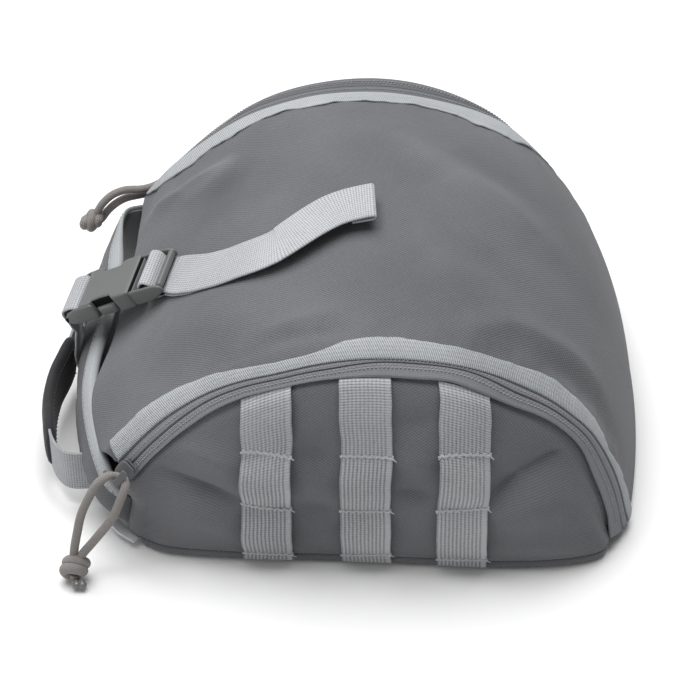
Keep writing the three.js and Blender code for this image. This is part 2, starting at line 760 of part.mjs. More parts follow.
function sliderGeometry(side) {
  const corners = [[-5, -2.4], [-2, -4], [4, -4], [6, -3], [6, 3], [4, 4], [-2, 4], [-5, 2.4]];
  const body = solid(plate(polygon(corners), 0, 3.2, 0.5));
  const disc = solid(plate(roundedShape(-4.8, 4.8, 3.8, 1.8), -0.7, 0.7, 0));
  const ring = meshOf(disc.subtract(box(-3.4, 3.4, 2.7, -2, 2)));
  const upright = ring.rotateX(Math.PI / 2).rotateZ(Math.PI / 2);
  upright.translate(RING_BACK, side * RING_DROP, RING_HEIGHT);
  return meshOf(body.add(solid(upright))).applyMatrix4(sliderFrame(side));
}
add('zip_slider_front', sliderGeometry(-1), ZIP, 0.5);
add('zip_slider_rear', sliderGeometry(1), ZIP, 0.5);

// Cord loops and knots
function cordGeometry([toRing, fromRing], side, spans) {
  const seat = sliderFrame(side);
  const ringPoint = (way) => vec(RING_BACK + way, side * RING_DROP, RING_HEIGHT).applyMatrix4(seat);
  const inRing = [-3, 0, 3].map(ringPoint);
  const place = ({ x, y, z }) => vec(x, y, z);
  const round = new THREE.Shape();
  round.absarc(0, 0, CORD_RADIUS, 0, Math.PI * 2);
  return new THREE.ExtrudeGeometry(round, {
    steps: spans,
    curveSegments: 4,
    bevelEnabled: false,
    extrudePath: new THREE.CatmullRomCurve3([...toRing.map(place), ...inRing, ...fromRing.map(place)]),
  });
}

function knotGeometry({ x, y, z }, axis) {
  const profile = [[3, -6], [5.4, -4.6], [6, -2.4], [5.2, 0], [6, 2.4], [5.4, 4.6], [3, 6]];
  const turn = new THREE.Quaternion().setFromUnitVectors(vec(0, 0, 1), axis.normalize());
  const rings = profile.map(([radius, height]) => steps(11, 0, (Math.PI * 11) / 6).map((angle) => {
    const p = vec(radius * Math.cos(angle), radius * Math.sin(angle), height);
    return p.applyQuaternion(turn).add(vec(x, y, z));
  }));
  return loft(rings);
}
add('pull_cord_front', cordGeometry(frontLegs, -1, 26), CORD);
add('pull_cord_rear', cordGeometry(rearLegs, 1, 26), CORD);
add('pull_knot_front', knotGeometry(KNOT_FRONT, vec(0.5, 0.75, 0.3)), CORD);
add('pull_knot_rear', knotGeometry(KNOT_REAR, vec(0.15, 0.1, 0.95)), CORD);

export default group;
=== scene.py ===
# %% [markdown]
# A grey helmet bag, dressed piece by piece
#
# The bag is a soft dome of woven cloth that stands on a flat base. A zip runs along each side under
# a bright ribbed tape, three upright webbing strips are sewn to each side pocket, and a flap with a
# buckled strap closes the mouth. The construction is already fixed in the frame, so this lesson only
# lays finished surfaces where the frame's solids are. All sizes below are millimetres, and one
# function turns them into metres when a mesh is made.

# %% Load the frame
import bpy
import numpy as np
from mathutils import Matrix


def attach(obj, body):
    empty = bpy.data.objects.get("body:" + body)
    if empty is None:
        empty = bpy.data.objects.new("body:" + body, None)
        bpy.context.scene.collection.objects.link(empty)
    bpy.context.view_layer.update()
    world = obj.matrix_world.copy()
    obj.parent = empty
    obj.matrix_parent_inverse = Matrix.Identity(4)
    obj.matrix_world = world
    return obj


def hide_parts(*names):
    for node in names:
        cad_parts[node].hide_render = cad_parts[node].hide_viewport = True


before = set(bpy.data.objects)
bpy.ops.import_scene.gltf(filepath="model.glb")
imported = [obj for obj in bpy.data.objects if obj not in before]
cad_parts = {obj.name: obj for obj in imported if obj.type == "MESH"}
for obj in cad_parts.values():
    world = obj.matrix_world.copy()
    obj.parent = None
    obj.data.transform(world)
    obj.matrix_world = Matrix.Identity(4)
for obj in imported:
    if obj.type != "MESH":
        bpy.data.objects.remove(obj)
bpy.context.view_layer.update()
MM = 0.001
print("frame:", len(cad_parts), "nodes")

# %% [markdown]
# The camera
#
# The photograph looks down on the front pocket from about forty degrees, from far enough away that
# parallel edges stay nearly parallel. A long lens at 1.4 m gives the same view. Turning the camera
# could place the bag in the picture, but would tilt its edges, so a small lens shift does that.

# %% Camera
VIEW_ELEVATION = np.radians(40)
VIEW_DISTANCE = 1.4
LOOK_AT = np.array([0, 0, 0.06])
IMAGE_SIDE = 680
LOOK_AT_PIXEL = (374, 318)

camera_data = bpy.data.cameras.new("view_camera")
camera_data.lens = 138.5
camera_data.sensor_width = 36
camera_data.shift_x = (IMAGE_SIDE / 2 - LOOK_AT_PIXEL[0]) / IMAGE_SIDE
camera_data.shift_y = (LOOK_AT_PIXEL[1] - IMAGE_SIDE / 2) / IMAGE_SIDE
camera = bpy.data.objects.new("view_camera", camera_data)
away = np.array([0, -np.cos(VIEW_ELEVATION), np.sin(VIEW_ELEVATION)])
camera.location = LOOK_AT + VIEW_DISTANCE * away
camera.rotation_euler = (np.pi / 2 - VIEW_ELEVATION, 0, 0)
bpy.context.scene.collection.objects.link(camera)
bpy.context.scene.camera = camera
print("camera at", [round(v, 3) for v in camera.location])

# %% [markdown]
# A small kit of curves
#
# Every outline on the bag is a short table of places with a smooth curve through them. Blender's
# curve objects could draw it too. Arrays were chosen, because a whole surface is then one formula
# over a few curves. The curve is a Catmull-Rom spline: it passes through each row, and its slope
# there is set by the rows beside it.

# %% Tables and smooth curves
def columns(names, rows):
    """One array for each named column of a short table."""
    return dict(zip(names.split(), np.array(rows, float).T))


def along(values, u):
    """Smooth curve through values, u from 0 to 1. With f inside the span from b to c, and a and d
    beside them: (2b + (c-a) f + (2a-5b+4c-d) f^2 + (3b-a-3c+d) f^3) / 2."""
    values = np.asarray(values, float)
    s = np.clip(u, 0, 1) * (len(values) - 1)
    i = np.minimum(s.astype(int), len(values) - 2)
    f = (s - i).reshape(s.shape + (1,) * (values.ndim - 1))
    first, last = 2 * values[0] - values[1], 2 * values[-1] - values[-2]
    ext = np.concatenate([[first], values, [last]])
    a, b, c, d = (ext[i + k] for k in range(4))
    bend = 2 * a - 5 * b + 4 * c - d
    twist = 3 * b - a - 3 * c + d
    return 0.5 * (2 * b + (c - a) * f + bend * f**2 + twist * f**3)


def unit(v):
    """Vectors divided by their lengths."""
    return v / np.maximum(np.linalg.norm(v, axis=-1, keepdims=True), 1e-12)


def run_length(points):
    """Distance along a line of points, 0 at the first."""
    return np.concatenate([[0], np.cumsum(np.linalg.norm(np.diff(points[:, :3], axis=0), axis=1))])


def spaced(points, count):
    """Rows at equal distances along the smooth curve through the given rows. The first three
    numbers of a row are a place, and any further ones are carried along."""
    points = np.asarray(points, float)
    fine = along(points, np.linspace(0, 1, 40 * len(points)))
    run = run_length(fine)
    want = np.linspace(0, run[-1], count)
    return np.stack([np.interp(want, run, column) for column in fine.T], -1)


def smooth_step(low, high, x):
    """0 below low, 1 above high, and 3 s^2 - 2 s^3 between them."""
    s = np.clip((x - low) / (high - low), 0, 1)
    return s * s * (3 - 2 * s)


print("kit: tables, smooth curves, equal spacing")

# %% [markdown]
# Meshes from grids
#
# Cloth could be modelled by hand, but a grid of points can be measured and made again from its
# numbers. One parameter runs along the rows and one along the columns. Tubes and webbing are grids
# whose last column joins the first. A piece may hold several such shells, and each corner of each
# face gets a UV in metres of real cloth, so that a weave keeps its scale.

# %% Shells and pieces
def quads_of(grid):
    """Corners of each cell of a grid, so that a face's normal is row direction x column direction."""
    return np.stack([grid[:-1, :-1], grid[1:, :-1], grid[1:, 1:], grid[:-1, 1:]], axis=2)


def shell(points, uv=None, wrap=False, wrap_rows=False, cap=False):
    """Faces over points[row, column]. wrap joins the last column to the first, wrap_rows the last
    row to the first, and cap closes the first and last rows. uv is in millimetres, [row, column],
    with the joining row or column written out at its end."""
    rows, cols = points.shape[:2]
    index = np.arange(rows * cols).reshape(rows, cols)
    ends = np.stack([index[0], index[-1, ::-1]])
    if wrap:
        index = np.concatenate([index, index[:, :1]], axis=1)
    if wrap_rows:
        index = np.concatenate([index, index[:1]], axis=0)
    if uv is None:
        r, c = np.mgrid[0:index.shape[0], 0:index.shape[1]]
        uv = np.stack([c, r], -1) * 1.0
    faces, corner_uv = [quads_of(index).reshape(-1, 4)], [quads_of(uv).reshape(-1, 2)]
    if cap:
        faces.append(ends)
        corner_uv.append(np.repeat(uv[[0, -1], 0], cols, axis=0))
    return {"points": points.reshape(-1, 3), "faces": faces, "uv": np.concatenate(corner_uv)}


def piece(name, shells, finish, nodes=(), wall=0, sharp=None):
    """One mesh object of several shells, riding on the bag. wall gives a sheet its thickness inwards,
    and sharp is the angle in degrees past which an edge stays crisp. Where the frame has a solid of
    the same name, the piece is called dressed."""
    if name in bpy.data.objects:
        name = f"{name}_dressed"
    starts = np.cumsum([0] + [len(s["points"]) for s in shells])
    faces = []
    for made_shell, start in zip(shells, starts):
        for block in made_shell["faces"]:
            faces.extend((block + start).tolist())
    mesh = bpy.data.meshes.new(name)
    mesh.from_pydata((np.concatenate([s["points"] for s in shells]) * MM).tolist(), [], faces)
    layer = mesh.uv_layers.new(name="cloth")
    layer.data.foreach_set("uv", (np.concatenate([s["uv"] for s in shells]) * MM).ravel())
    mesh.polygons.foreach_set("use_smooth", np.ones(len(mesh.polygons), bool))
    if sharp is not None:
        mesh.set_sharp_from_angle(angle=np.radians(sharp))
    mesh.materials.append(finish)
    made = bpy.data.objects.new(name, mesh)
    bpy.context.scene.collection.objects.link(made)
    if wall:
        thick = made.modifiers.new("cloth_wall", "SOLIDIFY")
        thick.thickness = wall * MM
        thick.offset = -1
    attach(made, "root")
    if nodes:
        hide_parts(*nodes)
    print(f"{name}: {len(mesh.vertices)} points, {len(mesh.polygons)} faces")
    return made


def normals_of(grid):
    """Unit normals of a grid, row direction x column direction by central differences."""
    return unit(np.cross(np.gradient(grid, axis=0), np.gradient(grid, axis=1)))


def row_run(grid):
    """Distance along each row of a grid, 0 at its first column."""
    step = np.linalg.norm(np.diff(grid, axis=1), axis=2)
    return np.concatenate([np.zeros((len(grid), 1)), np.cumsum(step, axis=1)], axis=1)


def cloth_uv(grid):
    """UV of an open grid: distance along the middle column, and along each row from its middle."""
    middle = grid.shape[1] // 2
    over = row_run(grid)
    over = over - over[:, [middle]]
    return np.stack([np.broadcast_to(run_length(grid[:, middle])[:, None], over.shape), over], -1)


def grid_uv(over, down):
    """UV of a grid from the distances across its columns and down its rows."""
    return np.stack(np.broadcast_arrays(over[None], down[:, None]), -1)


print("kit: shells, pieces, normals")

# %% [markdown]
# Sections carried along a path
#
# Webbing is a flat section with round edges, and a cord is a circle. A curve with a bevel could
# carry either, but its UV isn't in real distance, which a weave needs. Here both are carried along
# a line of stations, each with a direction across and a direction up. Row direction x across has
# to be up, so that the faces point outwards.

# %% Bands and tubes
def band_section(width, thick, across=9):
    """Flat section with round edges, listed clockwise: along the top, round the right edge, back
    along the bottom and round the left edge."""
    r = thick / 2
    flat = np.linspace(-width / 2 + r, width / 2 - r, across)
    turn = np.radians([60, 0, -60])
    right = np.stack([width / 2 - r + r * np.cos(turn), r * np.sin(turn)], -1)
    top = np.stack([flat, np.full(across, r)], -1)
    return np.concatenate([top, right, -top, -right])


def carry(path, across, up, section):
    """Grid of section points at each station: place + across a + up c."""
    a, c = section[None, :, :1], section[None, :, 1:]
    return path[:, None] + across[:, None] * a + up[:, None] * c


def band(path, across, up, width, thick, cells=9):
    """Closed strip of webbing along a path, with UV as width and length."""
    section = band_section(width, thick, cells)
    grid = carry(path, across, up, section)
    over = np.append(section[:, 0], section[0, 0])
    return shell(grid, grid_uv(over, run_length(path)), wrap=True, cap=True)


def tube(path, radius, sides=14, lean=(0, 1, 0)):
    """Closed round tube: a circle about each station, across = tangent x lean made square to it.
    radius may change along the path. UV is the distance round and along."""
    tangent = unit(np.gradient(path, axis=0))
    across = unit(np.cross(np.asarray(lean, float), tangent))
    up = np.cross(tangent, across)
    angle = np.linspace(0, 2 * np.pi, sides, endpoint=False)
    ring = np.stack([np.cos(angle), -np.sin(angle)], -1)
    radius = np.broadcast_to(radius, len(path))[:, None, None]
    grid = path[:, None] + radius * (across[:, None] * ring[None, :, :1] + up[:, None] * ring[None, :, 1:])
    around = np.linspace(0, 1, sides + 1) * 2 * np.pi * radius.max()
    return shell(grid, grid_uv(around, run_length(path)), wrap=True, cap=True)


print("kit: bands and tubes")

# %% [markdown]
# Finishes: shared weaves
#
# At arm's length the bag is all weave: fine plain cloth, ribbed tape, webbing with lengthwise
# cords, and braided cord. A picture of cloth would show it too, but blurs when seen close. Waves
# of the piece's own UV stay sharp, so each weave is one node group that puts out a height. The
# materials then set their own pitch and colours.

# %% Node helpers
def put(tree, kind, inputs=None, **settings):
    """A node with its settings, whose inputs are plain values or other nodes' sockets."""
    node = tree.nodes.new(kind)
    for key, value in settings.items():
        setattr(node, key, value)
    for key, value in (inputs or {}).items():
        if isinstance(value, bpy.types.NodeSocket):
            tree.links.new(value, node.inputs[key])
        else:
            node.inputs[key].default_value = value
    return node


def calc(tree, operation, a, b=0.0):
    """One math node's result."""
    return put(tree, "ShaderNodeMath", {0: a, 1: b}, operation=operation).outputs[0]


def group(name, inputs, outputs):
    """An empty shader node group with named sockets, and its two end nodes."""
    tree = bpy.data.node_groups.new(name, "ShaderNodeTree")
    for label, kind in inputs:
        tree.interface.new_socket(label, in_out="INPUT", socket_type=kind)
    for label, kind in outputs:
        tree.interface.new_socket(label, in_out="OUTPUT", socket_type=kind)
    return tree, put(tree, "NodeGroupInput"), put(tree, "NodeGroupOutput")


def wave(tree, distance, pitch):
    """0.5 + 0.5 sin(2 pi distance / pitch)."""
    turn = calc(tree, "MULTIPLY", calc(tree, "DIVIDE", distance, pitch), 2 * np.pi)
    return calc(tree, "ADD", calc(tree, "MULTIPLY", calc(tree, "SINE", turn), 0.5), 0.5)


FLOAT, VECTOR = "NodeSocketFloat", "NodeSocketVector"
print("kit: nodes, groups, waves")

# %% Weave groups
# Plain weave: warp and weft waves multiplied, so threads rise in a chequer
weave_tree, weave_in, weave_out = group(
    "plain_weave", [("UV", VECTOR), ("Warp Pitch", FLOAT), ("Weft Pitch", FLOAT)], [("Height", FLOAT)])
place = put(weave_tree, "ShaderNodeSeparateXYZ", {0: weave_in.outputs["UV"]})
warp = wave(weave_tree, place.outputs["X"], weave_in.outputs["Warp Pitch"])
weft = wave(weave_tree, place.outputs["Y"], weave_in.outputs["Weft Pitch"])
same = calc(weave_tree, "MULTIPLY", warp, weft)
low_warp, low_weft = (calc(weave_tree, "SUBTRACT", 1.0, thread) for thread in (warp, weft))
rest = calc(weave_tree, "MULTIPLY", low_warp, low_weft)
weave_tree.links.new(calc(weave_tree, "ADD", same, rest), weave_out.inputs["Height"])

# Ribbed weave: round cords with narrow gaps, crossed by rows along the length
rib_tree, rib_in, rib_out = group(
    "ribbed_weave", [("UV", VECTOR), ("Cord Pitch", FLOAT), ("Row Pitch", FLOAT), ("Row Share", FLOAT)],
    [("Height", FLOAT)])
place = put(rib_tree, "ShaderNodeSeparateXYZ", {0: rib_in.outputs["UV"]})
lengthwise = calc(rib_tree, "POWER", wave(rib_tree, place.outputs["X"], rib_in.outputs["Cord Pitch"]), 0.6)
crosswise = calc(rib_tree, "POWER", wave(rib_tree, place.outputs["Y"], rib_in.outputs["Row Pitch"]), 0.6)
mixed = put(rib_tree, "ShaderNodeMix", {
    "Factor": rib_in.outputs["Row Share"], "A": lengthwise, "B": crosswise})
rib_tree.links.new(mixed.outputs[0], rib_out.inputs["Height"])

# Braid: two sets of slanted strands round a cord
braid_tree, braid_in, braid_out = group(
    "braid", [("UV", VECTOR), ("Pitch", FLOAT)], [("Height", FLOAT)])
place = put(braid_tree, "ShaderNodeSeparateXYZ", {0: braid_in.outputs["UV"]})
slants = [calc(braid_tree, turn, place.outputs["X"], place.outputs["Y"]) for turn in ("ADD", "SUBTRACT")]
left, right = (wave(braid_tree, slant, braid_in.outputs["Pitch"]) for slant in slants)
braid_tree.links.new(calc(braid_tree, "MAXIMUM", left, right), braid_out.inputs["Height"])

# Handling: broad and fine unevenness of dye and light dust, on the bag's own coordinates
soil_tree, soil_in, soil_out = group("uneven", [("Position", VECTOR)], [("Shade", FLOAT), ("Fuzz", FLOAT)])
for label, scale, detail in (("Shade", 14.0, 3.0), ("Fuzz", 900.0, 2.0)):
    spots = put(soil_tree, "ShaderNodeTexNoise", {
        "Vector": soil_in.outputs["Position"], "Scale": scale, "Detail": detail})
    soil_tree.links.new(spots.outputs["Fac"], soil_out.inputs[label])
print("node groups:", [g.name for g in bpy.data.node_groups])

# %% [markdown]
# Finishes: the bag's own materials
#
# Tape, cloth and thread of one grey still catch the light differently, so each has its own finish.
# It mixes a dark and a light tone by the weave's height and by slow unevenness, and the same
# height feeds a bump. Whole shaders could sit in a group, but a shader in the material is easier
# to read. The tones were set by comparing renders with the photograph.

# %% Cloth and moulded finishes
def new_finish(name, **settings):
    """A material, its tree, its shader with plain values set, the Object coordinates and the
    unevenness on them."""
    finish = bpy.data.materials.new(name)
    finish.use_nodes = True
    tree = finish.node_tree
    shader = tree.nodes["Principled BSDF"]
    for label, value in settings.items():
        shader.inputs[label.replace("_", " ")].default_value = value
    position = put(tree, "ShaderNodeTexCoord").outputs["Object"]
    uneven = put(tree, "ShaderNodeGroup", {"Position": position}, node_tree=soil_tree)
    return finish, tree, shader, position, uneven.outputs


def tone_between(tree, shader, factor, dark, light):
    """Base colour that runs from dark to light with a factor."""
    tones = {"Factor": factor, "A": (*dark, 1), "B": (*light, 1)}
    tone = put(tree, "ShaderNodeMix", tones, data_type="RGBA")
    tree.links.new(tone.outputs["Result"], shader.inputs["Base Color"])


UNEVEN_SPREAD = 0.3


def woven_finish(name, weave, pitches, dark, light, depth, sheen=0.08, rows_fade=None):
    """Cloth whose colour runs from dark to light with the weave's height, a slow unevenness and a
    point attribute of painted highlight and shade. rows_fade lets the cross rows of a ribbed weave
    weaken along it."""
    finish, tree, shader, _, uneven = new_finish(
        name, Roughness=0.88, Sheen_Weight=sheen, Sheen_Roughness=0.6, Specular_IOR_Level=0.25)
    uv = put(tree, "ShaderNodeUVMap", uv_map="cloth").outputs[0]
    pattern = put(tree, "ShaderNodeGroup", node_tree=weave)
    tree.links.new(uv, pattern.inputs["UV"])
    for label, value in pitches.items():
        pattern.inputs[label].default_value = value
    if rows_fade:
        down = put(tree, "ShaderNodeSeparateXYZ", {0: uv}).outputs["Y"]
        fade = put(tree, "ShaderNodeMapRange", {
            "Value": down, "From Min": 0.012, "From Max": 0.055,
            "To Min": rows_fade[0], "To Max": rows_fade[1]})
        tree.links.new(fade.outputs["Result"], pattern.inputs["Row Share"])
    height = pattern.outputs["Height"]
    slow = calc(tree, "MULTIPLY", calc(tree, "SUBTRACT", uneven["Shade"], 0.5), UNEVEN_SPREAD * 3)
    fuzz = calc(tree, "MULTIPLY", calc(tree, "SUBTRACT", uneven["Fuzz"], 0.5), UNEVEN_SPREAD * 2)
    # A point attribute that adds painted highlight, or painted shade where negative, to the tone.
    painted_light_shade_tone = put(tree, "ShaderNodeAttribute", attribute_name="painted_light_shade").outputs["Fac"]
    factor = calc(tree, "ADD", calc(tree, "ADD", calc(tree, "ADD", height, slow), fuzz), painted_light_shade_tone)
    tone_between(tree, shader, factor, dark, light)
    raised = calc(tree, "ADD", height, calc(tree, "MULTIPLY", uneven["Fuzz"], 0.5))
    bump = put(tree, "ShaderNodeBump", {"Height": raised, "Distance": depth * MM, "Strength": 0.8})
    tree.links.new(bump.outputs["Normal"], shader.inputs["Normal"])
    return finish


def hard_finish(name, colour, roughness, grain, grain_depth, metallic=0.0, shine=0.5):
    """Moulded or cast surface with a fine grain and slightly uneven gloss."""
    finish, tree, shader, position, uneven = new_finish(name, Metallic=metallic, Specular_IOR_Level=shine)
    fine = put(tree, "ShaderNodeTexNoise", {"Vector": position, "Scale": grain, "Detail": 2.0})
    tone_between(tree, shader, uneven["Shade"], np.array(colour) * 0.88, np.array(colour) * 1.12)
    gloss = put(tree, "ShaderNodeMapRange", {
        "Value": fine.outputs["Fac"], "To Min": roughness - 0.08, "To Max": roughness + 0.1})
    tree.links.new(gloss.outputs["Result"], shader.inputs["Roughness"])
    bump = put(tree, "ShaderNodeBump", {
        "Height": fine.outputs["Fac"], "Distance": grain_depth * MM, "Strength": 0.5})
    tree.links.new(bump.outputs["Normal"], shader.inputs["Normal"])
    return finish


# %% The bag's finishes
def ribs(cord, row, share=0.5):
    """Pitches of a ribbed weave: its lengthwise cords, its cross rows and the rows' share."""
    return {"Cord Pitch": cord * MM, "Row Pitch": row * MM, "Row Share": share}


CLOTH_WEAVE = {"Warp Pitch": 2.3 * MM, "Weft Pitch": 1.5 * MM}
panel_cloth = woven_finish(
    "panel_cloth", weave_tree, CLOTH_WEAVE, (0.067, 0.069, 0.074), (0.148, 0.151, 0.161), 0.18)
pocket_cloth = woven_finish(
    "pocket_cloth", weave_tree, CLOTH_WEAVE, (0.086, 0.088, 0.096), (0.16, 0.163, 0.174), 0.16)
# A paler copy of the panel cloth: painted light for the flap's shaded inner face.
inner_painted_light_cloth = woven_finish(
    "inner_painted_light_cloth", weave_tree, CLOTH_WEAVE, (0.26, 0.262, 0.27), (0.42, 0.424, 0.435), 0.2)
sleeve_cloth = woven_finish(
    "sleeve_cloth", weave_tree, CLOTH_WEAVE, (0.02, 0.02, 0.022), (0.042, 0.042, 0.046), 0.14, sheen=0.05)
trim_tape = woven_finish(
    "trim_tape", rib_tree, ribs(2.4, 1.1, 0.85), (0.128, 0.135, 0.14), (0.412, 0.428, 0.441), 0.3)
binding_tape = woven_finish(
    "binding_tape", rib_tree, ribs(1.9, 1.3, 0.75), (0.235, 0.246, 0.254), (0.385, 0.4, 0.412), 0.2)
# A lightened tape: painted light on the corner tab, which lies in the flap's shade.
tab_tape_painted_light = woven_finish("tab_tape_painted_light", rib_tree, ribs(1.2, 0.9), (0.5, 0.512, 0.522), (0.68, 0.69, 0.7), 0.06)
zip_tape = woven_finish(
    "zip_tape", rib_tree, ribs(0.9, 0.9), (0.135, 0.138, 0.149), (0.215, 0.219, 0.234), 0.12)
# A darker copy of the zip tape: painted shade for the far zip.
far_zip_painted_shade = woven_finish(
    "far_zip_painted_shade", rib_tree, ribs(0.9, 0.9), (0.084, 0.086, 0.093), (0.136, 0.139, 0.148), 0.12)
# Black of the zip coil, also used for a painted shadow under the ribbed tape.
coil_and_shadow_black = woven_finish(
    "zip_coil_and_shadow", rib_tree, ribs(2.0, 1.4, 0.9), (0.04, 0.04, 0.043), (0.11, 0.112, 0.12), 0.3)
webbing = woven_finish(
    "webbing", rib_tree, ribs(1.45, 1.35), (0.165, 0.17, 0.178), (0.46, 0.47, 0.49), 0.3)
strip_webbing = woven_finish(
    "strip_webbing", rib_tree, ribs(1.95, 1.4), (0.14, 0.144, 0.15), (0.392, 0.402, 0.417), 0.34,
    rows_fade=(0.62, 0.24))
cord_braid = woven_finish(
    "cord", braid_tree, {"Pitch": 1.25 * MM}, (0.132, 0.122, 0.115), (0.272, 0.253, 0.244), 0.25)
thread = woven_finish("thread", rib_tree, ribs(0.5, 0.5), (0.34, 0.35, 0.365), (0.52, 0.53, 0.55), 0.05)
zip_thread = woven_finish(
    "zip_thread", rib_tree, ribs(0.5, 0.5), (0.22, 0.224, 0.236), (0.31, 0.315, 0.33), 0.05)
dark_thread = woven_finish(
    "dark_thread", rib_tree, ribs(0.5, 0.5), (0.045, 0.045, 0.049), (0.085, 0.085, 0.091), 0.05)
buckle_plastic = hard_finish("buckle", (0.126, 0.128, 0.128), 0.48, 2600.0, 0.04)
slider_metal = hard_finish("slider", (0.11, 0.112, 0.117), 0.42, 1800.0, 0.03, 0.2)
melted_end = hard_finish("melted_end", (0.15, 0.142, 0.137), 0.12, 700.0, 0.1)
# Near-black finish: painted shade in the buckle's hollows and slots.
hollow_shade = hard_finish("hollow_shade", (0.008, 0.008, 0.009), 0.8, 1800.0, 0.02, shine=0.05)
print("materials:", len(bpy.data.materials))

# %% [markdown]
# The dome's own measure
#
# The domed panel is ruled by two seam lines, one at the front and one at the rear. It could be
# sculpted, but from two tables the tape, the zip, the pocket and the strap can all find the same
# surface. Each row is one place on the front seam from the mouth to the closed end, and the rear
# table holds how far the rear seam departs from it. Between them the cloth rises by a crown. Past
# each seam it rolls over by a fixed turn, which carries the ribbed tape and the zip.

# %% Seam tables
PANEL_WALL, SIDE_WALL, FLAP_WALL = 2.5, 2.0, 2.0
WEBBING_WALL, WEBBING_WIDTH = 1.4, 25.4
TRIM_FROM = 0.007
ROLL_LENGTH, ROLL_TURN = 20, np.radians(40)
COIL_AT = {-1: 15.2, 1: 14.6}
MOUTH_BULGE, BULGE_CENTRE, BULGE_WIDTH, MOUTH_FADE = 8.5, -0.6, 0.38, 0.3
SEAM_HEIGHT = 6.5
SIDE_END, SIDE_GAP = 0.965, 1.2
SIDE_TURN, SIDE_OVERHANG, SIDE_FULLNESS = np.radians(6), np.radians(12), 0.37
seams = {"front": -1, "rear": 1}

rim = columns("x z half crown roll base_x base_y", [
    (-134, 60, 102, 1, 30, -119, 113),
    (-107, 89, 101, 1, 24, -104, 119.5),
    (-67, 114, 100, 4, 18, -66, 123.5),
    (-22, 129, 100, 8, 14, -22, 125),
    (22, 128, 100, 12, 14, 22, 127.5),
    (65, 113, 100, 14, 14, 62, 130),
    (101, 87, 100, 14, 14, 95, 128.5),
    (122, 48, 99, 12, 14, 115, 123.5),
    (132.5, 7.4, 97, 9.5, 14, 121, 116),
])
rear_shift = columns("x z half roll", [
    (5, 5, 100, 24),
    (-2, 1, 97, 8),
    (0, 8, 94, -12),
    (0, 7, 92, -20),
    (0, 6.5, 92, -20),
    (0, 4.5, 92, -12),
    (-2, 1.5, 94, 14),
    (-1, 1, 97, 32),
    (0, 0, 97, 30),
])
print("seam rows:", len(rim["x"]), "and", len(rear_shift["x"]))

# %% Dome and side surfaces
def rim_normal(u):
    """Outward direction of the seam line in its own upright plane, level at the closed end."""
    step = 1e-3
    tx = along(rim["x"], u + step) - along(rim["x"], u - step)
    tz = along(rim["z"], u + step) - along(rim["z"], u - step)
    return unit(np.stack([-tz, 0 * tx, tx * (1 - u**6)], -1))


def panel_point(u, t):
    """Dome: t from -1 on the front seam to 1 on the rear one. A straight line between the seams,
    plus crown (1 - t^2) along the seam's normal, less a soft bulge of the mouth."""
    u, t = np.broadcast_arrays(np.asarray(u, float), np.asarray(t, float))
    rear = (t + 1) / 2
    bulge = MOUTH_BULGE * np.exp(-(((t - BULGE_CENTRE) / BULGE_WIDTH) ** 2)) * (1 - t**4)
    bulge = bulge * np.clip(1 - u / MOUTH_FADE, 0, None) ** 2
    x = along(rim["x"], u) + along(rear_shift["x"], u) * rear - bulge
    y = -along(rim["half"], u) * (1 - rear) + along(rear_shift["half"], u) * rear
    z = along(rim["z"], u) + along(rear_shift["z"], u) * rear
    lift = along(rim["crown"], u) * (1 - t * t)
    return np.stack([x, y, z], -1) + rim_normal(u) * lift[..., None]


def roll_start(u, side):
    """Slope at which the cloth leaves a seam line."""
    return np.radians(along((rim if side < 0 else rear_shift)["roll"], u))


def roll_point(u, side, q):
    """Rolled edge: an arc of ROLL_TURN over ROLL_LENGTH that leaves the seam line, q along it.
    Where q is negative the point lies on the dome instead."""
    u, q = np.broadcast_arrays(np.asarray(u, float), np.asarray(q, float))
    k = ROLL_TURN / ROLL_LENGTH
    start = roll_start(u, side)
    turn = start + k * np.maximum(q, 0)
    half = along(rim["half"], u)
    p = panel_point(u, side * (1 + np.minimum(q, 0) / half))
    p[..., 1] += side * (np.sin(turn) - np.sin(start)) / k
    return p - rim_normal(u) * ((np.cos(start) - np.cos(turn)) / k)[..., None]


def side_point(u, side, w):
    """Side pocket: a cubic Bezier from under the zip, w = 0, to the base seam, w = 1."""
    u, w = np.broadcast_arrays(np.asarray(u, float), np.asarray(w, float))
    top = roll_point(u, side, ROLL_LENGTH + SIDE_GAP)
    foot_y = side * along(rim["base_y"], u)
    foot = np.stack([along(rim["base_x"], u), foot_y, np.full(u.shape, SEAM_HEIGHT + 0.75)], -1)
    reach = np.linalg.norm(top - foot, axis=-1)[..., None] * SIDE_FULLNESS
    turn = (roll_start(u, side) + ROLL_TURN + SIDE_TURN)[..., None]
    outwards = np.array([0, side, 0])
    leave = outwards * np.cos(turn) - rim_normal(u) * np.sin(turn)
    arrive = np.array([0, side * np.sin(SIDE_OVERHANG), np.cos(SIDE_OVERHANG)])
    c1 = top + leave * reach * np.sin(turn)
    c2 = foot + arrive * reach
    w = w[..., None]
    return top * (1 - w) ** 3 + 3 * c1 * w * (1 - w) ** 2 + 3 * c2 * w**2 * (1 - w) + foot * w**3


def place_on_dome(x, y):
    """Parameters u and t of the dome above plan points, by halving u."""
    x, y = np.broadcast_arrays(np.asarray(x, float), np.asarray(y, float))
    low, high = np.zeros(x.shape), np.ones(x.shape)
    for _ in range(40):
        mid = (low + high) / 2
        front = along(rim["half"], mid)
        t = 2 * (y + front) / (front + along(rear_shift["half"], mid)) - 1
        ahead = panel_point(mid, t)[..., 0] < x
        low, high = np.where(ahead, mid, low), np.where(ahead, high, mid)
    return low, t


def dome_height(x, y):
    """Height of the dome above plan points."""
    return panel_point(*place_on_dome(x, y))[..., 2]


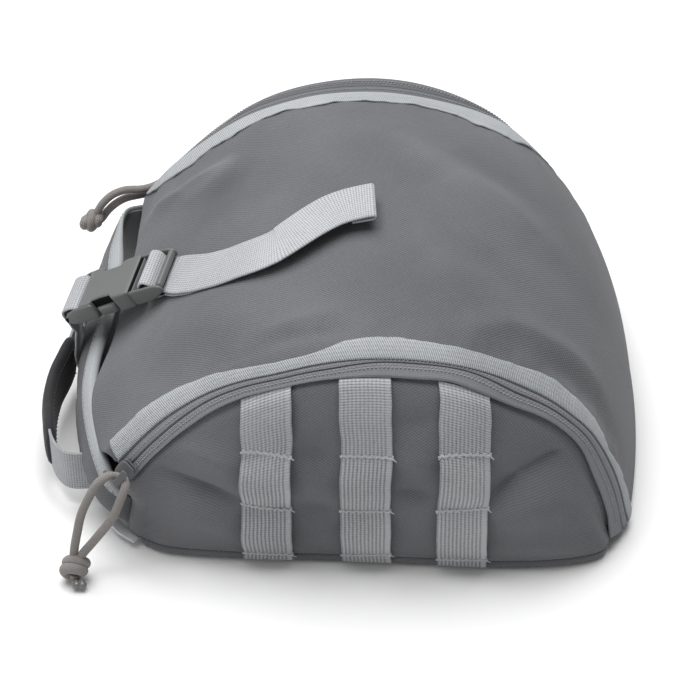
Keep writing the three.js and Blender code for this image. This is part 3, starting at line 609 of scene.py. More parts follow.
def dome_up(x, y):
    """Direction square to the dome above plan points, from its slopes."""
    slope_x = (dome_height(x + 1, y) - dome_height(x - 1, y)) / 2
    slope_y = (dome_height(x, y + 1) - dome_height(x, y - 1)) / 2
    return unit(np.stack([-slope_x, -slope_y, np.ones_like(slope_x)], -1))


print("dome top", round(float(panel_point(np.linspace(0, 1, 99), 0)[:, 2].max()), 1), "mm")

# %% [markdown]
# Pull cords first
#
# A cord has a fixed length, so its route is settled before anything is dressed. Each zip slider
# carries a loop of round braided cord that ends in a knot: the front one hangs to the table, and
# the rear one arches out past the mouth. A simulated rope would find a lie of its own, and the
# photograph shows this one, so it is a curve through given places. It starts behind the slider's
# pull tab, runs down one leg, through the knot, and back up the other leg to close behind the tab.

# %% Slider seats
SLIDER_AT, COIL_RISE = {-1: 0.006, 1: 0.014}, {-1: 0.8, 1: 0.3}
CORD_RADIUS, CORD_STATIONS = 2.25, 150


def slider_seat(side):
    """Origin and three axes of a zip slider: along the zip, across it, and out from the bag."""
    q = COIL_AT[side] + np.array([0, 0, 2, -2])
    u = SLIDER_AT[side] + np.array([0, 0.02, 0, 0])
    seat, ahead, below, above = roll_point(u, side, q)
    way = unit(ahead - seat)
    out = unit(np.cross(way, (below - above) * side))
    return seat + out * (COIL_RISE[side] + 0.5), np.stack([way, np.cross(out, way), out])


print("front slider at", np.round(slider_seat(-1)[0], 1).tolist(), "mm")

# %% Cord routes and cords
cord_routes = {
    "front": {
        "knot": (-152, -136, 8.8),
        "loop": [(-126.9, -121.6, 57.9), (-129.6, -121.8, 58.9)],
        "down": [(-133, -124, 60.8), (-137.5, -127, 59.2), (-141.5, -129.5, 53.5), (-146.5, -131.5, 42.5),
                 (-149.5, -132, 30), (-152, -133, 17)],
        "up": [(-148.3, -134.2, 15.5), (-140, -133.5, 27.2), (-131, -132.5, 40.8), (-126, -129.5, 52),
               (-124, -127, 57), (-124.6, -124.4, 58.4)],
    },
    "rear": {
        "knot": (-161, 107.5, 42.5),
        "loop": [(-119.5, 121, 61), (-126, 117, 59.8)],
        "down": [(-132.5, 113.5, 60.4), (-141, 112, 61), (-148.5, 110.5, 58.6), (-154.3, 109, 53.5),
                 (-158, 108, 47.5)],
        "up": [(-156.5, 109.5, 41.5), (-152.4, 111, 46.4), (-147.6, 112, 51), (-141.5, 113.5, 54),
               (-134, 115.5, 54.7), (-126, 118.5, 54.6), (-120.5, 121.5, 56.3)],
    },
}
for place_name, side in seams.items():
    route, name = cord_routes[place_name], f"pull_cord_{place_name}"
    start, leave = np.array(route["loop"])
    back = start + [1.2, 0.4 * side, 1.2]
    path = spaced([start, leave, *route["down"], route["knot"], *route["up"], back], CORD_STATIONS)
    made = piece(name, [tube(path, CORD_RADIUS)], cord_braid, [name])
    print(place_name, "cord", round(run_length(path)[-1]), "mm")

# %% [markdown]
# Knots
#
# A barrel knot closes each loop. A cord could be tied for it over and under, but at this size only
# its turns show, so it is two turns of cord wound round a core. The cut ends below it are melted
# into two small glossy beads.

# %% Knots
KNOT_TURNS, KNOT_FROM, KNOT_STATIONS = 2.1, 2.4, 90


def knot_shells(centre, axis, lean, radius, thick, rise):
    """Two turns of cord wound about the axis and the cord's bulk inside them:
    place = centre + axis h + radius (flank cos a + front sin a), with h rising by rise each turn."""
    axis = unit(np.array(axis, float))
    front = unit(np.cross(axis, np.array(lean, float)))
    flank = np.cross(front, axis)
    turn = np.linspace(0, 2 * np.pi * KNOT_TURNS, KNOT_STATIONS) + KNOT_FROM
    height = rise * ((turn - KNOT_FROM) / (2 * np.pi) - KNOT_TURNS / 2)
    level = rise * (np.round(height / rise + 0.5) - 0.5)
    height = 0.45 * height + 0.55 * level * smooth_step(0, 1, np.abs(height / rise))
    inward = smooth_step(0.86, 1, np.abs(2 * np.linspace(0, 1, KNOT_STATIONS) - 1))
    wide = radius * (1 - 0.7 * inward)
    height = height * (1 - 0.6 * inward)
    wound = centre + axis * height[:, None] + wide[:, None] * (
        flank * np.cos(turn)[:, None] + front * np.sin(turn)[:, None])
    core = centre + axis * np.linspace(-0.6 * rise, 0.6 * rise, 14)[:, None]
    return [tube(wound, thick, 14, axis), tube(core, radius, 14, flank)]


knots = {
    "front": ((0.28, 0.82, 0.48), (0, 0, 1), 4.3, 3.0, 5.6, (-149.4, -143.0, 3.8)),
    "rear": ((0.95, -0.15, -0.28), (0, 1, 0), 3.9, 2.8, 5.2, (-158, 113.5, 39.5))}
for place_name, (axis, lean, radius, thick, rise, cut) in knots.items():
    centre, name = np.array(cord_routes[place_name]["knot"], float), f"pull_knot_{place_name}"
    shells = knot_shells(centre, axis, lean, radius, thick, rise)
    knot = piece(name, shells, cord_braid, [name])
    s = np.linspace(-1, 1, 13)
    out = unit(np.array(cut) - centre)
    swell = CORD_RADIUS * 0.98 * np.sqrt(1.03 - np.abs(s) ** 3) * (1 + 0.08 * np.sin(6 * s))
    ends = [np.array(cut) + np.array([beside, 0, 0]) + out * (2.6 * s)[:, None] for beside in (-1.5, 1.5)]
    beads = [tube(end, swell, 14, (0.3, 0.2, 0.9)) for end in ends]
    melted = piece(f"cord_end_{place_name}", beads, melted_end)

# %% [markdown]
# Folds by formula
#
# Slack cloth lies in soft ridges and hollows. A cloth simulation could make some, but not in the
# places where this bag has them. So each is a line between two places, a height, a width and a
# power: the cloth stands off by height x exp(-(distance / width)^power), and fades towards the
# line's ends. The lines were read off the photograph's light and shade. Crests also get a painted
# highlight, and a few hollows painted shade: a second table of the same form gives a point
# attribute, which the cloth reads.

# %% Fold formula
def folds(a, b, table):
    """Sum of ridges over the plane (a, b): each row is a line from (a0, b0) to (a1, b1), a height, a
    width and a power: height exp(-(d / width)^power) (0.4 + 0.6 sin(pi s)). Power 2 is a soft
    swell, and a lower power a sharper crease."""
    total = np.zeros(np.broadcast(a, b).shape)
    for a0, b0, a1, b1, height, width, power in table:
        da, db = a1 - a0, b1 - b0
        s = np.clip(((a - a0) * da + (b - b0) * db) / (da * da + db * db), 0, 1)
        d = np.hypot(a - a0 - s * da, b - b0 - s * db)
        total += height * np.exp(-((d / width) ** power)) * (0.4 + 0.6 * np.sin(np.pi * s))
    return total


def ripple(s, seed, longest=46.0):
    """Seeded unevenness along a seam, between about -1 and 1: four sines of falling wavelength."""
    draw = np.random.default_rng(seed)
    waves = longest / np.array([1, 1.7, 2.9, 4.3])
    phases = draw.uniform(0, 2 * np.pi, 4)
    sines = (np.sin(2 * np.pi * s / w + p) / (k + 1) for k, (w, p) in enumerate(zip(waves, phases)))
    return sum(sines) / 1.6


dome_folds = [
    (-121, 69, -103, 60, 5.0, 4.8, 1.3), (-108, 61, -82, 64, 5.4, 4.8, 1.3), (-98, 44, -70, 46, -3.2, 12, 2),
    (8, 53, 39, 16, 6.0, 15, 1.6), (34, 22, 86, -7, 6.2, 15, 1.6), (44, 50, 84, 24, -3.0, 14, 2),
    (-110, -50, -62, -73, 5.2, 20, 2),
    (44, -88, 72, -74, 2.6, 8, 1.6), (66, -75, 112, -75, 3.3, 8, 1.6),
    (86, -88, 121, -87, -2.4, 7, 2),
    (30, -38, 48, -76, 2.8, 9, 2), (40, -28, 86, -60, -2.8, 10, 2),
    (-56, -86, -20, -82, 2.4, 6, 1.6), (-48, -94, -14, -97, -1.4, 5, 2),
]
# Painted highlight along fold crests and painted shade in a few hollows, in the same form as the folds.
painted_fold_light_shade = [
    (-121, 69, -103, 60, 0.9, 4.5, 2), (-107, 60.5, -80, 64, 1.3, 5, 2), (-92, 44, -66, 38, -0.4, 18, 2),
    (8, 53, 39, 16, 0.2, 10, 2), (34, 22, 86, -7, 0.2, 11, 2), (44, 52, 84, 26, -0.14, 14, 2),
    (70, -20, 104, -60, 0.2, 24, 2),
]
print("dome folds:", len(dome_folds), "rub marks:", len(painted_fold_light_shade))

# %% [markdown]
# The domed main panel
#
# One wide panel of cloth runs from the mouth over the top to the closed end. It is sewn to the
# zips along both seams, where the stitching gathers it into small puckers. A smoothed cage could
# give the form, but a grid's rows and columns also follow the weave and reach both seams exactly.
# It runs along the bag in one direction and from the front roll to the rear roll in the other.

# %% Main panel
ROLL_REACH, ROLL_CELLS = 8.2, 6
MOUTH_HANG = 9.5


def dome_grid(u):
    """Grid of the dome with a rolled edge on each side, and the folds and puckers along its normals."""
    q = np.linspace(ROLL_REACH, 0, ROLL_CELLS + 1)[:-1]
    t = np.linspace(-1, 1, 151)
    front = roll_point(u[:, None], -1, q[None])
    rear = roll_point(u[:, None], 1, q[None, ::-1])
    grid = np.concatenate([front, panel_point(u[:, None], t[None]), rear], axis=1)
    out = normals_of(grid)
    over = row_run(grid)
    length = run_length(grid[:, grid.shape[1] // 2])[:, None]
    from_front = over - over[:, [ROLL_CELLS]]
    from_rear = over[:, [-ROLL_CELLS - 1]] - over
    lift = folds(grid[..., 0], grid[..., 1], dome_folds)
    lift = lift * smooth_step(-2, 10, np.minimum(from_front, from_rear))
    for distance, seed in ((from_front, 3), (from_rear, 8)):
        near = np.exp(-((distance - 7) / 6) ** 2)
        lift = lift + 0.55 * near * ripple(length, seed, 30.0)
    return grid + out * lift[..., None]


def with_lip(grid, reach, turn_to, bend=0.55, rows=6):
    """Rows added before a grid's first: the cloth runs on from its edge by reach, and turns towards
    turn_to by bend times the square of the distance."""
    s = np.linspace(1, 0, rows + 1)[:-1, None, None]
    lead = unit(grid[0] - grid[2])
    far = np.broadcast_to(reach, grid.shape[1])[None, :, None]
    lip = lead * s * (1 - bend * s) + np.array(turn_to, float) * bend * s**2
    return np.concatenate([grid[0] + far * lip, grid])


def set_painted_light_shade(made, amount):
    """Write each point's painted highlight, or painted shade where negative, for the cloth's finish to read.
    """
    made.data.attributes.new("painted_light_shade", "FLOAT", "POINT").data.foreach_set("value", np.ravel(amount))


dome = dome_grid(np.linspace(0, 1, 221))
mouth_y = dome[0, :, 1]
hang = MOUTH_HANG * (1 - smooth_step(5, 62, mouth_y)) * smooth_step(-108, -94, mouth_y)
dome = with_lip(dome, hang + 0.4, (0, 0, -1), 0.22)
dome_shell = shell(dome, cloth_uv(dome))
main_panel = piece("main_cloth", [dome_shell], panel_cloth, ["main_panel"], PANEL_WALL)
set_painted_light_shade(main_panel, folds(dome[..., 0], dome[..., 1], painted_fold_light_shade))

# %% [markdown]
# Ribbed tape and zip along each seam
#
# A bright ribbed tape covers each seam, with a wavy upper edge where the gathered cloth pushes it
# up. Below it lies the closed zip: a narrow tape, the coil under its fold, and a wide tape that
# overlaps the pocket. Loose curves could float over the cloth or sink into it, so each is a strip
# of the same rolled surface with a height profile across its width. A thin near-black strip is a
# painted shadow in the space under the ribbed tape. On the front the coil lies lower near the
# slider and slips under the tape at the crown. The far zip's tape is a darker copy, painted shade,
# and the far ribbed tape is painted lighter.

# %% Trim tapes and zips
def seam_strip(u, side, q, height):
    """Grid along a seam: places q across it, raised by height along the roll's own normal. Columns
    are ordered so that faces point outwards on either side."""
    q = np.broadcast_to(q, (len(u), np.shape(q)[-1]))
    flat = roll_point(u[:, None], side, q)
    out = normals_of(flat) * side
    raised = flat + out * np.broadcast_to(height, q.shape)[..., None]
    return raised[:, ::side]


def strip_uv(grid, slant=0.0):
    """UV of a seam strip: place across its width, then distance along it, sheared by slant."""
    over = row_run(grid)
    return np.stack([over, run_length(grid[:, 0])[:, None] + slant * over], -1)


edges = {
    -1: columns("top low zip", [
        (-2.5, 9.4, 20.2), (-3.5, 8.9, 19.6), (-3.7, 8.7, 19.6), (-2.6, 8.1, 18.5), (-0.6, 8.0, 17.2),
        (3.0, 9.3, 17.3), (5.6, 11.3, 18.6), (6.0, 11.6, 19.3), (0.9, 11.3, 19.7), (-0.9, 10.7, 19.4),
        (-1.0, 9.9, 18.9), (-1.2, 8.7, 17.2), (-1.8, 7.7, 18.3), (-3.0, 7.4, 18.5), (-4.8, 7.1, 16.9),
        (-3.0, 7.0, 16.3), (-2.6, 5.2, 16.2), (0, 4.4, 18), (-2, 4.4, 18.8), (-4.4, 4.0, 18.8),
        (-6, 3.8, 20.8)]),
    1: columns("top low zip", [
        (2, 10, 23), (-6.5, 4.4, 21), (-9, 3, 20.3), (-10.4, 4.2, 20.3), (-8, 4.6, 20.3), (-5, 4.6, 20.3),
        (-2, 4.7, 20.3), (-2.4, 5.5, 20.3), (-1.6, 5.3, 20.3), (-2, 5.2, 20.3), (-2.7, 5.1, 20.3),
        (-1.4, 6, 20.3), (-4.4, 8.4, 20.6), (-1.5, 11, 21.4), (3, 13.4, 22.2), (7.5, 14.8, 22.5),
        (8.5, 15, 22.5), (7, 13.6, 22), (4.5, 11.6, 21), (2, 10, 20.3), (0, 9, 20.3)]),
}
ZIP_PROFILE = columns("share height", [
    (-0.1, 0.0), (0.0, 0.1), (0.1, 0.5), (0.2, 0.3), (0.3, 0.55), (0.35, 0.5), (0.37, -0.15), (0.4, -0.35),
    (0.43, -0.15), (0.455, 0.8), (0.5, 0.95), (0.55, 0.6), (0.6, 0.85), (0.75, 0.7), (0.9, 1.1), (1.0, 1.2)])
ZIP_STANDS = {-1: 1, 1: 0.45}
along_trim = np.linspace(TRIM_FROM, 1, 301)
along_zip = np.linspace(0.004, 1, 301)


def zip_place(side, u, share):
    """Place across the seam at a share of the way from the tape's lower edge to the zip's own edge.
    On the front the coil wanders: the share changes by share (1 - share) times 0.5 toward the slider,
    and times -0.95 at the crown, where the coil slips under the tape."""
    low, last = along(edges[side]["low"], u), along(edges[side]["zip"], u)
    crown = smooth_step(0.36, 0.46, u) * (1 - smooth_step(0.56, 0.66, u))
    wander = (0.5 * (1 - smooth_step(0.1, 0.22, u)) - 0.95 * crown) * (side < 0)
    return low + (last - low) * (share + wander * share * (1 - share))


def zip_band(side, share, height):
    """Grid along a zip, through places across it at given shares and the heights that go with them."""
    q = zip_place(side, along_zip[:, None], np.array(share)[None])
    return seam_strip(along_zip, side, q, np.array(height)[None])


for place_name, side in seams.items():
    name = f"trim_tape_{place_name}"
    length = run_length(roll_point(along_trim, side, 4.0))[:, None]
    share = np.linspace(0, 1, 9)[None]
    top = along(edges[side]["top"], along_trim)[:, None]
    top = top - (0.6 + 0.3 * side) * ripple(length, 21 + side, 40.0)
    q = top + (along(edges[side]["low"], along_trim)[:, None] - top) * share
    height = 0.95 + 0.2 * np.sin(np.pi * share) + 0.35 * (1 - share) ** 2 * ripple(length, 33 + side, 24.0)
    tape = seam_strip(along_trim, side, q, height)
    made = piece(name, [shell(tape, strip_uv(tape, 0.4))], trim_tape, [name], 0.9)
    # Painted light: the rear tape is lightened evenly, the front one not.
    set_painted_light_shade(made, np.full(tape.shape[:2], 0.15 if side > 0 else 0))
    # The far zip takes the darker copy of the tape: painted shade.
    name, finish = f"zip_{place_name}", zip_tape if side < 0 else far_zip_painted_shade
    closed = zip_band(side, ZIP_PROFILE["share"], ZIP_PROFILE["height"] * ZIP_STANDS[side])
    piece(name, [shell(closed, strip_uv(closed))], finish, [name], 0.9)
    coil = zip_band(side, [0.36, 0.38, 0.4, 0.42, 0.44], [-0.45, 0.15, 0.35, 0.15, -0.45])
    # Near-black strip along the ribbed tape's lower edge: painted shadow.
    shadow_under_tape = zip_band(side, [-0.06, 0.0, 0.05, 0.09], np.array([0.2, 0.62, 0.66, 0.2]) * ZIP_STANDS[side])
    coil_and_shadow_lines = [shell(line, strip_uv(line)) for line in (coil, shadow_under_tape)]
    piece(f"zip_coil_{place_name}", coil_and_shadow_lines, coil_and_shadow_black, wall=0.5)

# %% [markdown]
# The side pockets
#
# Below each zip a pocket of darker-looking cloth falls to the base. It tucks under the zip's wide
# tape at the top and turns into the base seam at the bottom. A patch could be stretched between
# the two seams, but a Bezier at each section sets how full it is. Its creases are drawn on the
# plane of length and height, because that is how they are seen.

# %% Pocket surface
TUCK = 60
pocket_folds = {
    -1: [
        (-98, 76, -66, 66, 3.2, 7, 1.6), (-106, 58, -66, 45, -7.0, 6.5, 1.2), (-104, 40, -68, 26, 2.2, 9, 2),
        (-116, 40, -118, 16, -1.8, 4, 2),
        (-38, 79, -19, 80, -3.4, 9, 1.5), (-38, 45, -19, 45, -2.6, 8, 1.5), (-37, 62, -19, 62, 1.6, 8, 2),
        (10, 80, 31, 74, 3.2, 7, 1.6), (10, 58, 31, 55, -3.6, 8, 1.4), (12, 98, 30, 97, -1.8, 6, 2),
        (56, 51, 73, 66.5, -6.6, 8, 1.2), (71, 65, 99, 75, -6.0, 7, 1.2), (62, 40, 100, 50, 3.4, 12, 2),
        (64, 20, 108, 18, 1.4, 7, 2)],
    1: [
        (-92, 70, -60, 58, 2.4, 9, 1.6), (-88, 40, -64, 30, -2.2, 8, 1.5), (-36, 80, -16, 78, -2.0, 7, 1.5),
        (12, 46, 30, 48, -1.8, 7, 1.5), (14, 82, 32, 76, 1.8, 8, 2), (60, 60, 92, 72, 2.6, 8, 1.4),
        (64, 40, 104, 28, -2.4, 9, 1.5)],
}


def pocket_base(u, side, w):
    """Plain pocket surface. Negative w climbs the rolled edge under the zip, TUCK mm for each unit,
    and w past 1 runs straight down over the base seam."""
    u, w = np.broadcast_arrays(np.asarray(u, float), np.asarray(w, float))
    on_roll = roll_point(u, side, ROLL_LENGTH + SIDE_GAP + TUCK * np.minimum(w, 0))
    on_side = side_point(u, side, np.clip(w, 0, 1))
    p = np.where(w[..., None] < 0, on_roll, on_side)
    p[..., 2] -= TUCK * np.maximum(w - 1, 0)
    return p


def pocket_normal(u, side, w):
    """Outward normal of the plain pocket, from small steps along it and down it."""
    along_it = pocket_base(u + 2e-3, side, w) - pocket_base(u - 2e-3, side, w)
    down_it = pocket_base(u, side, w + 4e-3) - pocket_base(u, side, w - 4e-3)
    return unit(np.cross(along_it, down_it)) * side


def pocket_point(u, side, w, lift=0.0):
    """Pocket surface with its folds, lowered where it tucks under the zip, and lifted by lift."""
    p = pocket_base(u, side, w)
    off = folds(p[..., 0], p[..., 2], pocket_folds[side])
    off = off * smooth_step(-0.02, 0.1, w) * smooth_step(1.0, 0.93, w)
    off = off - 1.3 * smooth_step(0.03, -0.03, w) + lift
    return p + pocket_normal(u, side, w) * off[..., None]


def pocket_section(x, side, w):
    """Section u at which the plain pocket reaches x, by halving."""
    x, w = np.broadcast_arrays(np.asarray(x, float), np.asarray(w, float))
    low, high = np.zeros(x.shape), np.full(x.shape, SIDE_END)
    for _ in range(30):
        mid = (low + high) / 2
        ahead = pocket_base(mid, side, w)[..., 0] < x
        low, high = np.where(ahead, mid, low), np.where(ahead, high, mid)
    return low


print("pocket folds:", len(pocket_folds[-1]), "in front,", len(pocket_folds[1]), "behind")

# %% Pocket panels
along_pocket = np.linspace(0, SIDE_END, 241)
down_pocket = np.concatenate([[-0.11, -0.08, -0.05, -0.02], np.linspace(0, 0.97, 70), [0.985, 1.0]])
for place_name, side in seams.items():
    cloth = pocket_point(along_pocket[:, None], side, down_pocket[None])
    cloth = with_lip(cloth, 16 - 5 * smooth_step(0.15, 0.45, down_pocket), (-0.55, -0.8 * side, 0))
    cloth = with_lip(cloth[::-1], 8, (0.4, -0.9 * side, 0))[::-1, ::side]
    piece(f"pocket_cloth_{place_name}", [shell(cloth, cloth_uv(cloth))], pocket_cloth,
          [f"side_panel_{place_name}"], SIDE_WALL)

# %% [markdown]
# Upright webbing strips
#
# Three strips of inch-wide webbing are sewn down each pocket at intervals, so that gear can be
# laced behind them. Between the sewn tacks they stand away a little, and their edges are never
# quite straight. A shrinkwrap could lay them down, but would also pull them flat between the
# tacks. So each is a webbing section draped over the pocket surface with a lift of its own.

# %% Strips
STRIP_TOP = {-1: -0.06, 1: 0.25}
strip_rows = [
    (-52.5, -54.5, (0.295, 0.645, 0.984)),
    (-4, -4, (0.369, 0.681, 0.974)),
    (44.5, 44.5, (0.307, 0.633, 0.976)),
]
STRIP_BULGE, STRIP_SEED = (2.0, 4.0, 4.0), 40


def strip_lift(w, side, tacks):
    """Standing off between the tacks: bulge sin^1.3 over each span, and close to the cloth at a tack."""
    ends = [STRIP_TOP[side], *tacks]
    spans = zip(ends[:-1], ends[1:], STRIP_BULGE)
    return sum(b * np.sin(np.pi * np.clip((w - a) / (c - a), 0, 1)) ** 1.3 for a, c, b in spans)


def strip_point(side, row, w, e, c, seed):
    """Place on a strip: e across it in mm, c through it, at w down the pocket."""
    top, foot, tacks = row
    sway = 0.5 * ripple(100 * w, seed, 70.0) + e * 0.012 * ripple(100 * w, seed + 9, 34.0)
    u = pocket_section(top + (foot - top) * np.clip(w, 0, 1) + e + sway, side, w)
    return pocket_point(u, side, w, 0.95 + strip_lift(w, side, tacks) + c)


strip_section = band_section(WEBBING_WIDTH, WEBBING_WALL, 13)
strip_over = np.append(strip_section[:, 0], strip_section[0, 0])
for place_name, side in seams.items():
    w = np.linspace(STRIP_TOP[side], 1.055, 90)[:, None]
    e, c = strip_section.T[:, None]
    for number, row in enumerate(strip_rows, 1):
        name = f"webbing_{place_name}_{number}"
        draped = strip_point(side, row, w, e, c, STRIP_SEED + number)[:, ::side]
        uv = grid_uv(strip_over[::side], run_length(draped[:, 5]))
        piece(name, [shell(draped, uv, wrap=True, cap=True)], strip_webbing, [name])

# %% [markdown]
# The end flap
#
# A stiff flap closes the lower half of the mouth. It bellies outwards between its foot on the base
# and its top edge. Just inside it lies a paler copy of the same cloth: painted light on the flap's
# shaded inner face. The flap could be bent from a flat sheet, but a table of foot, belly and edge
# follows the photograph more closely.

# %% Flap surface
flap = columns("bx by mx my mz tx ty tz", [
    (-119, -109.6, -119, -104.8, 15, -121, -105, 26),
    (-125, -101, -136.3, -106.5, 22, -131.6, -109.8, 40),
    (-131, -86, -148.5, -90, 26, -139.4, -93.5, 50),
    (-136, -58, -155.3, -58, 28, -147, -58, 53),
    (-138, -25, -158.5, -26, 28, -148, -27, 52),
    (-139, 10, -159, 10, 29, -143, 10, 54),
    (-138, 45, -158, 47, 30, -141, 47, 54.5),
    (-134, 75, -153, 77, 31, -142.5, 78, 53.5),
    (-127, 99, -143.5, 103, 30, -141.5, 105, 51),
    (-120, 111, -127, 113.5, 29, -131, 112.5, 50),
])


def flap_point(v, w):
    """Flap: for each v a quadratic Bezier through foot, belly at w = 0.5, and top edge."""
    v, w = np.broadcast_arrays(np.asarray(v, float), np.asarray(w, float))
    foot = np.stack([along(flap["bx"], v), along(flap["by"], v), np.full(v.shape, SEAM_HEIGHT + 0.3)], -1)
    belly = np.stack([along(flap[k], v) for k in ("mx", "my", "mz")], -1)
    edge = np.stack([along(flap[k], v) for k in ("tx", "ty", "tz")], -1)
    bend = 2 * belly - (foot + edge) / 2
    w = w[..., None]
    return foot * (1 - w) ** 2 + 2 * bend * w * (1 - w) + edge * w**2


across_flap = np.linspace(0, 1, 161)
up_flap = np.linspace(0, 1, 41)
flap_grid = flap_point(across_flap[None], up_flap[:, None])
flap_out = normals_of(flap_grid)
slack = 0.5 * ripple(flap_grid[..., 1], 61, 52.0) * np.sin(np.pi * up_flap)[:, None]
flap_grid = flap_grid + flap_out * slack[..., None]
flap_shell = shell(flap_grid, cloth_uv(flap_grid))
piece("flap_cloth", [flap_shell], panel_cloth, ["end_flap"], FLAP_WALL)
# Paler sheet just inside the flap: painted light on its shaded inner face.
inner_painted_light = (flap_grid - flap_out * (FLAP_WALL + 0.25))[10:-1, ::-1]
piece("flap_inner_painted_light", [shell(inner_painted_light, cloth_uv(inner_painted_light))], inner_painted_light_cloth, wall=0.3)

# %% [markdown]
# The flap's binding
#
# The top edge is bound with a folded ribbed tape. A bevelled curve could show its outside alone,
# and here the fold is seen from above, so one U-shaped section is carried along the edge. It is
# drawn in towards both ends, and shallower where the flap is low.

# %% Binding
binding_section = np.array([
    (-0.9, 1.9), (0.3, 1.7), (1.2, 1.0), (1.55, -1.0), (1.6, -4.0), (1.5, -6.6), (1.1, -7.1), (0.6, -6.8),
    (0.6, 0.7), (-2.6, 0.7), (-2.6, -4.9), (-3.1, -5.2), (-3.5, -4.8), (-3.6, -1.0), (-3.1, 1.0),
    (-2.2, 1.7)])
along_binding = np.linspace(0.06, 0.985, 150)


def binding_measure(v):
    """Top edge of the flap, the way up to it, the share of the tape's depth that has room below it,
    and the share of its size to which the tape is drawn in."""
    edge = flap_point(v, 1.0)
    rise = unit(edge - flap_point(v, 0.85))
    room = np.clip(np.linalg.norm(edge - flap_point(v, 0.0), axis=1) / 36 - 0.3, 0.3, 1)
    slim = (1 - 0.72 * smooth_step(0.7, 0.88, v)) * (0.7 + 0.3 * smooth_step(0.06, 0.17, v))
    return edge, rise, room[:, None], slim[:, None]


edge, rise, room, slim = binding_measure(along_binding)
binding_run = run_length(edge)
out = unit(np.cross(rise, unit(np.gradient(edge, axis=0))))
n, r = binding_section[None, :, :1], binding_section[None, :, 1:]
deep = np.where(r < 0, r * room[..., None], r)
bound = edge[:, None] + slim[..., None] * (out[:, None] * n + rise[:, None] * deep)
closed_section = np.vstack([binding_section, binding_section[:1]])
uv = grid_uv(run_length(np.pad(closed_section, ((0, 0), (0, 1)))), binding_run)
piece("flap_binding", [shell(bound, uv, wrap=True, cap=True)], binding_tape, ["flap_binding"])

# %% [markdown]
# The base
#
# The flat base is a stiffened panel with a turned-up rim. A bevelled box could stand for it, but
# wouldn't meet the curved seams. So its outline follows the feet of the pockets, the dome and the
# flap, and one rounded profile is carried round it.

# %% Base
u_side, t_end, v_foot = np.linspace(0, 0.94, 50), np.linspace(-1, 1, 24), np.linspace(0.985, 0.015, 40)
outline = np.concatenate([
    side_point(u_side, -1, 1.0),
    roll_point(1.0, -1, np.array([20, 10])),
    panel_point(1.0, t_end),
    roll_point(1.0, 1, np.array([10, 20])),
    side_point(u_side[::-1], 1, 1.0),
    flap_point(v_foot, 0.0)])
closed = np.vstack([outline, outline[:1]])
run = run_length(closed * [1, 1, 0])
want = np.linspace(0, run[-1], 320, endpoint=False)
rim_line = np.stack([np.interp(want, run, closed[:, k]) for k in (0, 1)], -1)
ahead = np.roll(rim_line, -2, axis=0) - np.roll(rim_line, 2, axis=0)
outside = unit(np.stack([ahead[:, 1], -ahead[:, 0]], -1))
base_profile = np.array([
    (7, 2.5), (2.9, 4.2), (2.6, 6.0), (1.9, 6.7), (0.9, 6.3), (0.2, 5.4), (0.0, 3.8), (0.4, 2.2), (1.5, 0.9),
    (3.6, 0.15), (6.0, 0.0)])
level = rim_line[None] - outside[None] * base_profile[:, None, :1]
heights = np.broadcast_to(base_profile[:, None, 1:], level.shape[:2] + (1,))
base_grid = np.concatenate([level, heights], axis=2)
down_profile = run_length(np.pad(base_profile, ((0, 0), (0, 1))))
uv = grid_uv(np.append(want, run[-1]), down_profile)
base_shell = shell(base_grid, uv, wrap=True, cap=True)
piece("base_cloth", [base_shell], pocket_cloth, ["base_panel"])

# %% [markdown]
# Moulded shapes
#
# Buckle and sliders are small mouldings: plates and bars with rounded edges. A bevel modifier
# could round a box, but rings of points give the same edge with no modifier to tune. A plate is an
# outline whose edge rings are drawn in towards its faces. A loft is a rounded box section whose
# width and depth change along its length.

# %% Plates and lofts
def round_outline(corners, radius, steps=5):
    """Closed outline with each corner replaced by a quadratic curve that starts radius before it."""
    c = np.asarray(corners, float)
    before = c + unit(np.roll(c, 1, axis=0) - c) * radius
    after = c + unit(np.roll(c, -1, axis=0) - c) * radius
    f = np.linspace(0, 1, steps)[None, :, None]
    bend = before[:, None] * (1 - f) ** 2 + 2 * c[:, None] * f * (1 - f) + after[:, None] * f**2
    return bend.reshape(-1, 2)


def plate(outline, low, high, edge, origin, axes):
    """Plate over an anticlockwise outline in the first two axes, from low to high along the third,
    with its edges rounded in three steps."""
    ahead = np.roll(outline, -1, axis=0) - np.roll(outline, 1, axis=0)
    outside = unit(np.stack([ahead[:, 1], -ahead[:, 0]], -1))
    inset, drop = edge * np.array([(1.6, 0), (0.9, 0.04), (0.3, 0.3), (0, 1)]).T
    flat = outline[None] - outside[None] * np.append(inset, inset[::-1])[:, None, None]
    tall = np.append(high - drop, low + drop[::-1])[:, None, None]
    grid = np.concatenate([flat, np.broadcast_to(tall, flat.shape[:2] + (1,))], axis=2)
    return shell(origin + grid @ axes, wrap=True, cap=True)


def loft(stations, half_width, half_depth, radius, origin, axes):
    """Rounded box section carried along the first axis, with its own width and depth at each station.
    Each corner is a quarter circle with one more point 0.5 mm before and after it, so that the faces
    between stay flat."""
    start = np.repeat([180, 90, 0, -90], 7)
    turn = np.radians(start - np.tile([0, 0, 22.5, 45, 67.5, 90, 90], 4))
    past = np.tile([-0.5, 0, 0, 0, 0, 0, 0.5], 4)
    sx, sy = np.repeat([-1, 1, 1, -1], 7), np.repeat([1, 1, -1, -1], 7)
    b = sx * (np.array(half_width)[:, None] - radius) + radius * np.cos(turn) + past * np.sin(turn)
    c = sy * (np.array(half_depth)[:, None] - radius) + radius * np.sin(turn) - past * np.cos(turn)
    a = np.broadcast_to(np.array(stations, float)[:, None], b.shape)
    return shell(origin + np.stack([a, b, c], -1) @ axes, wrap=True, cap=True)


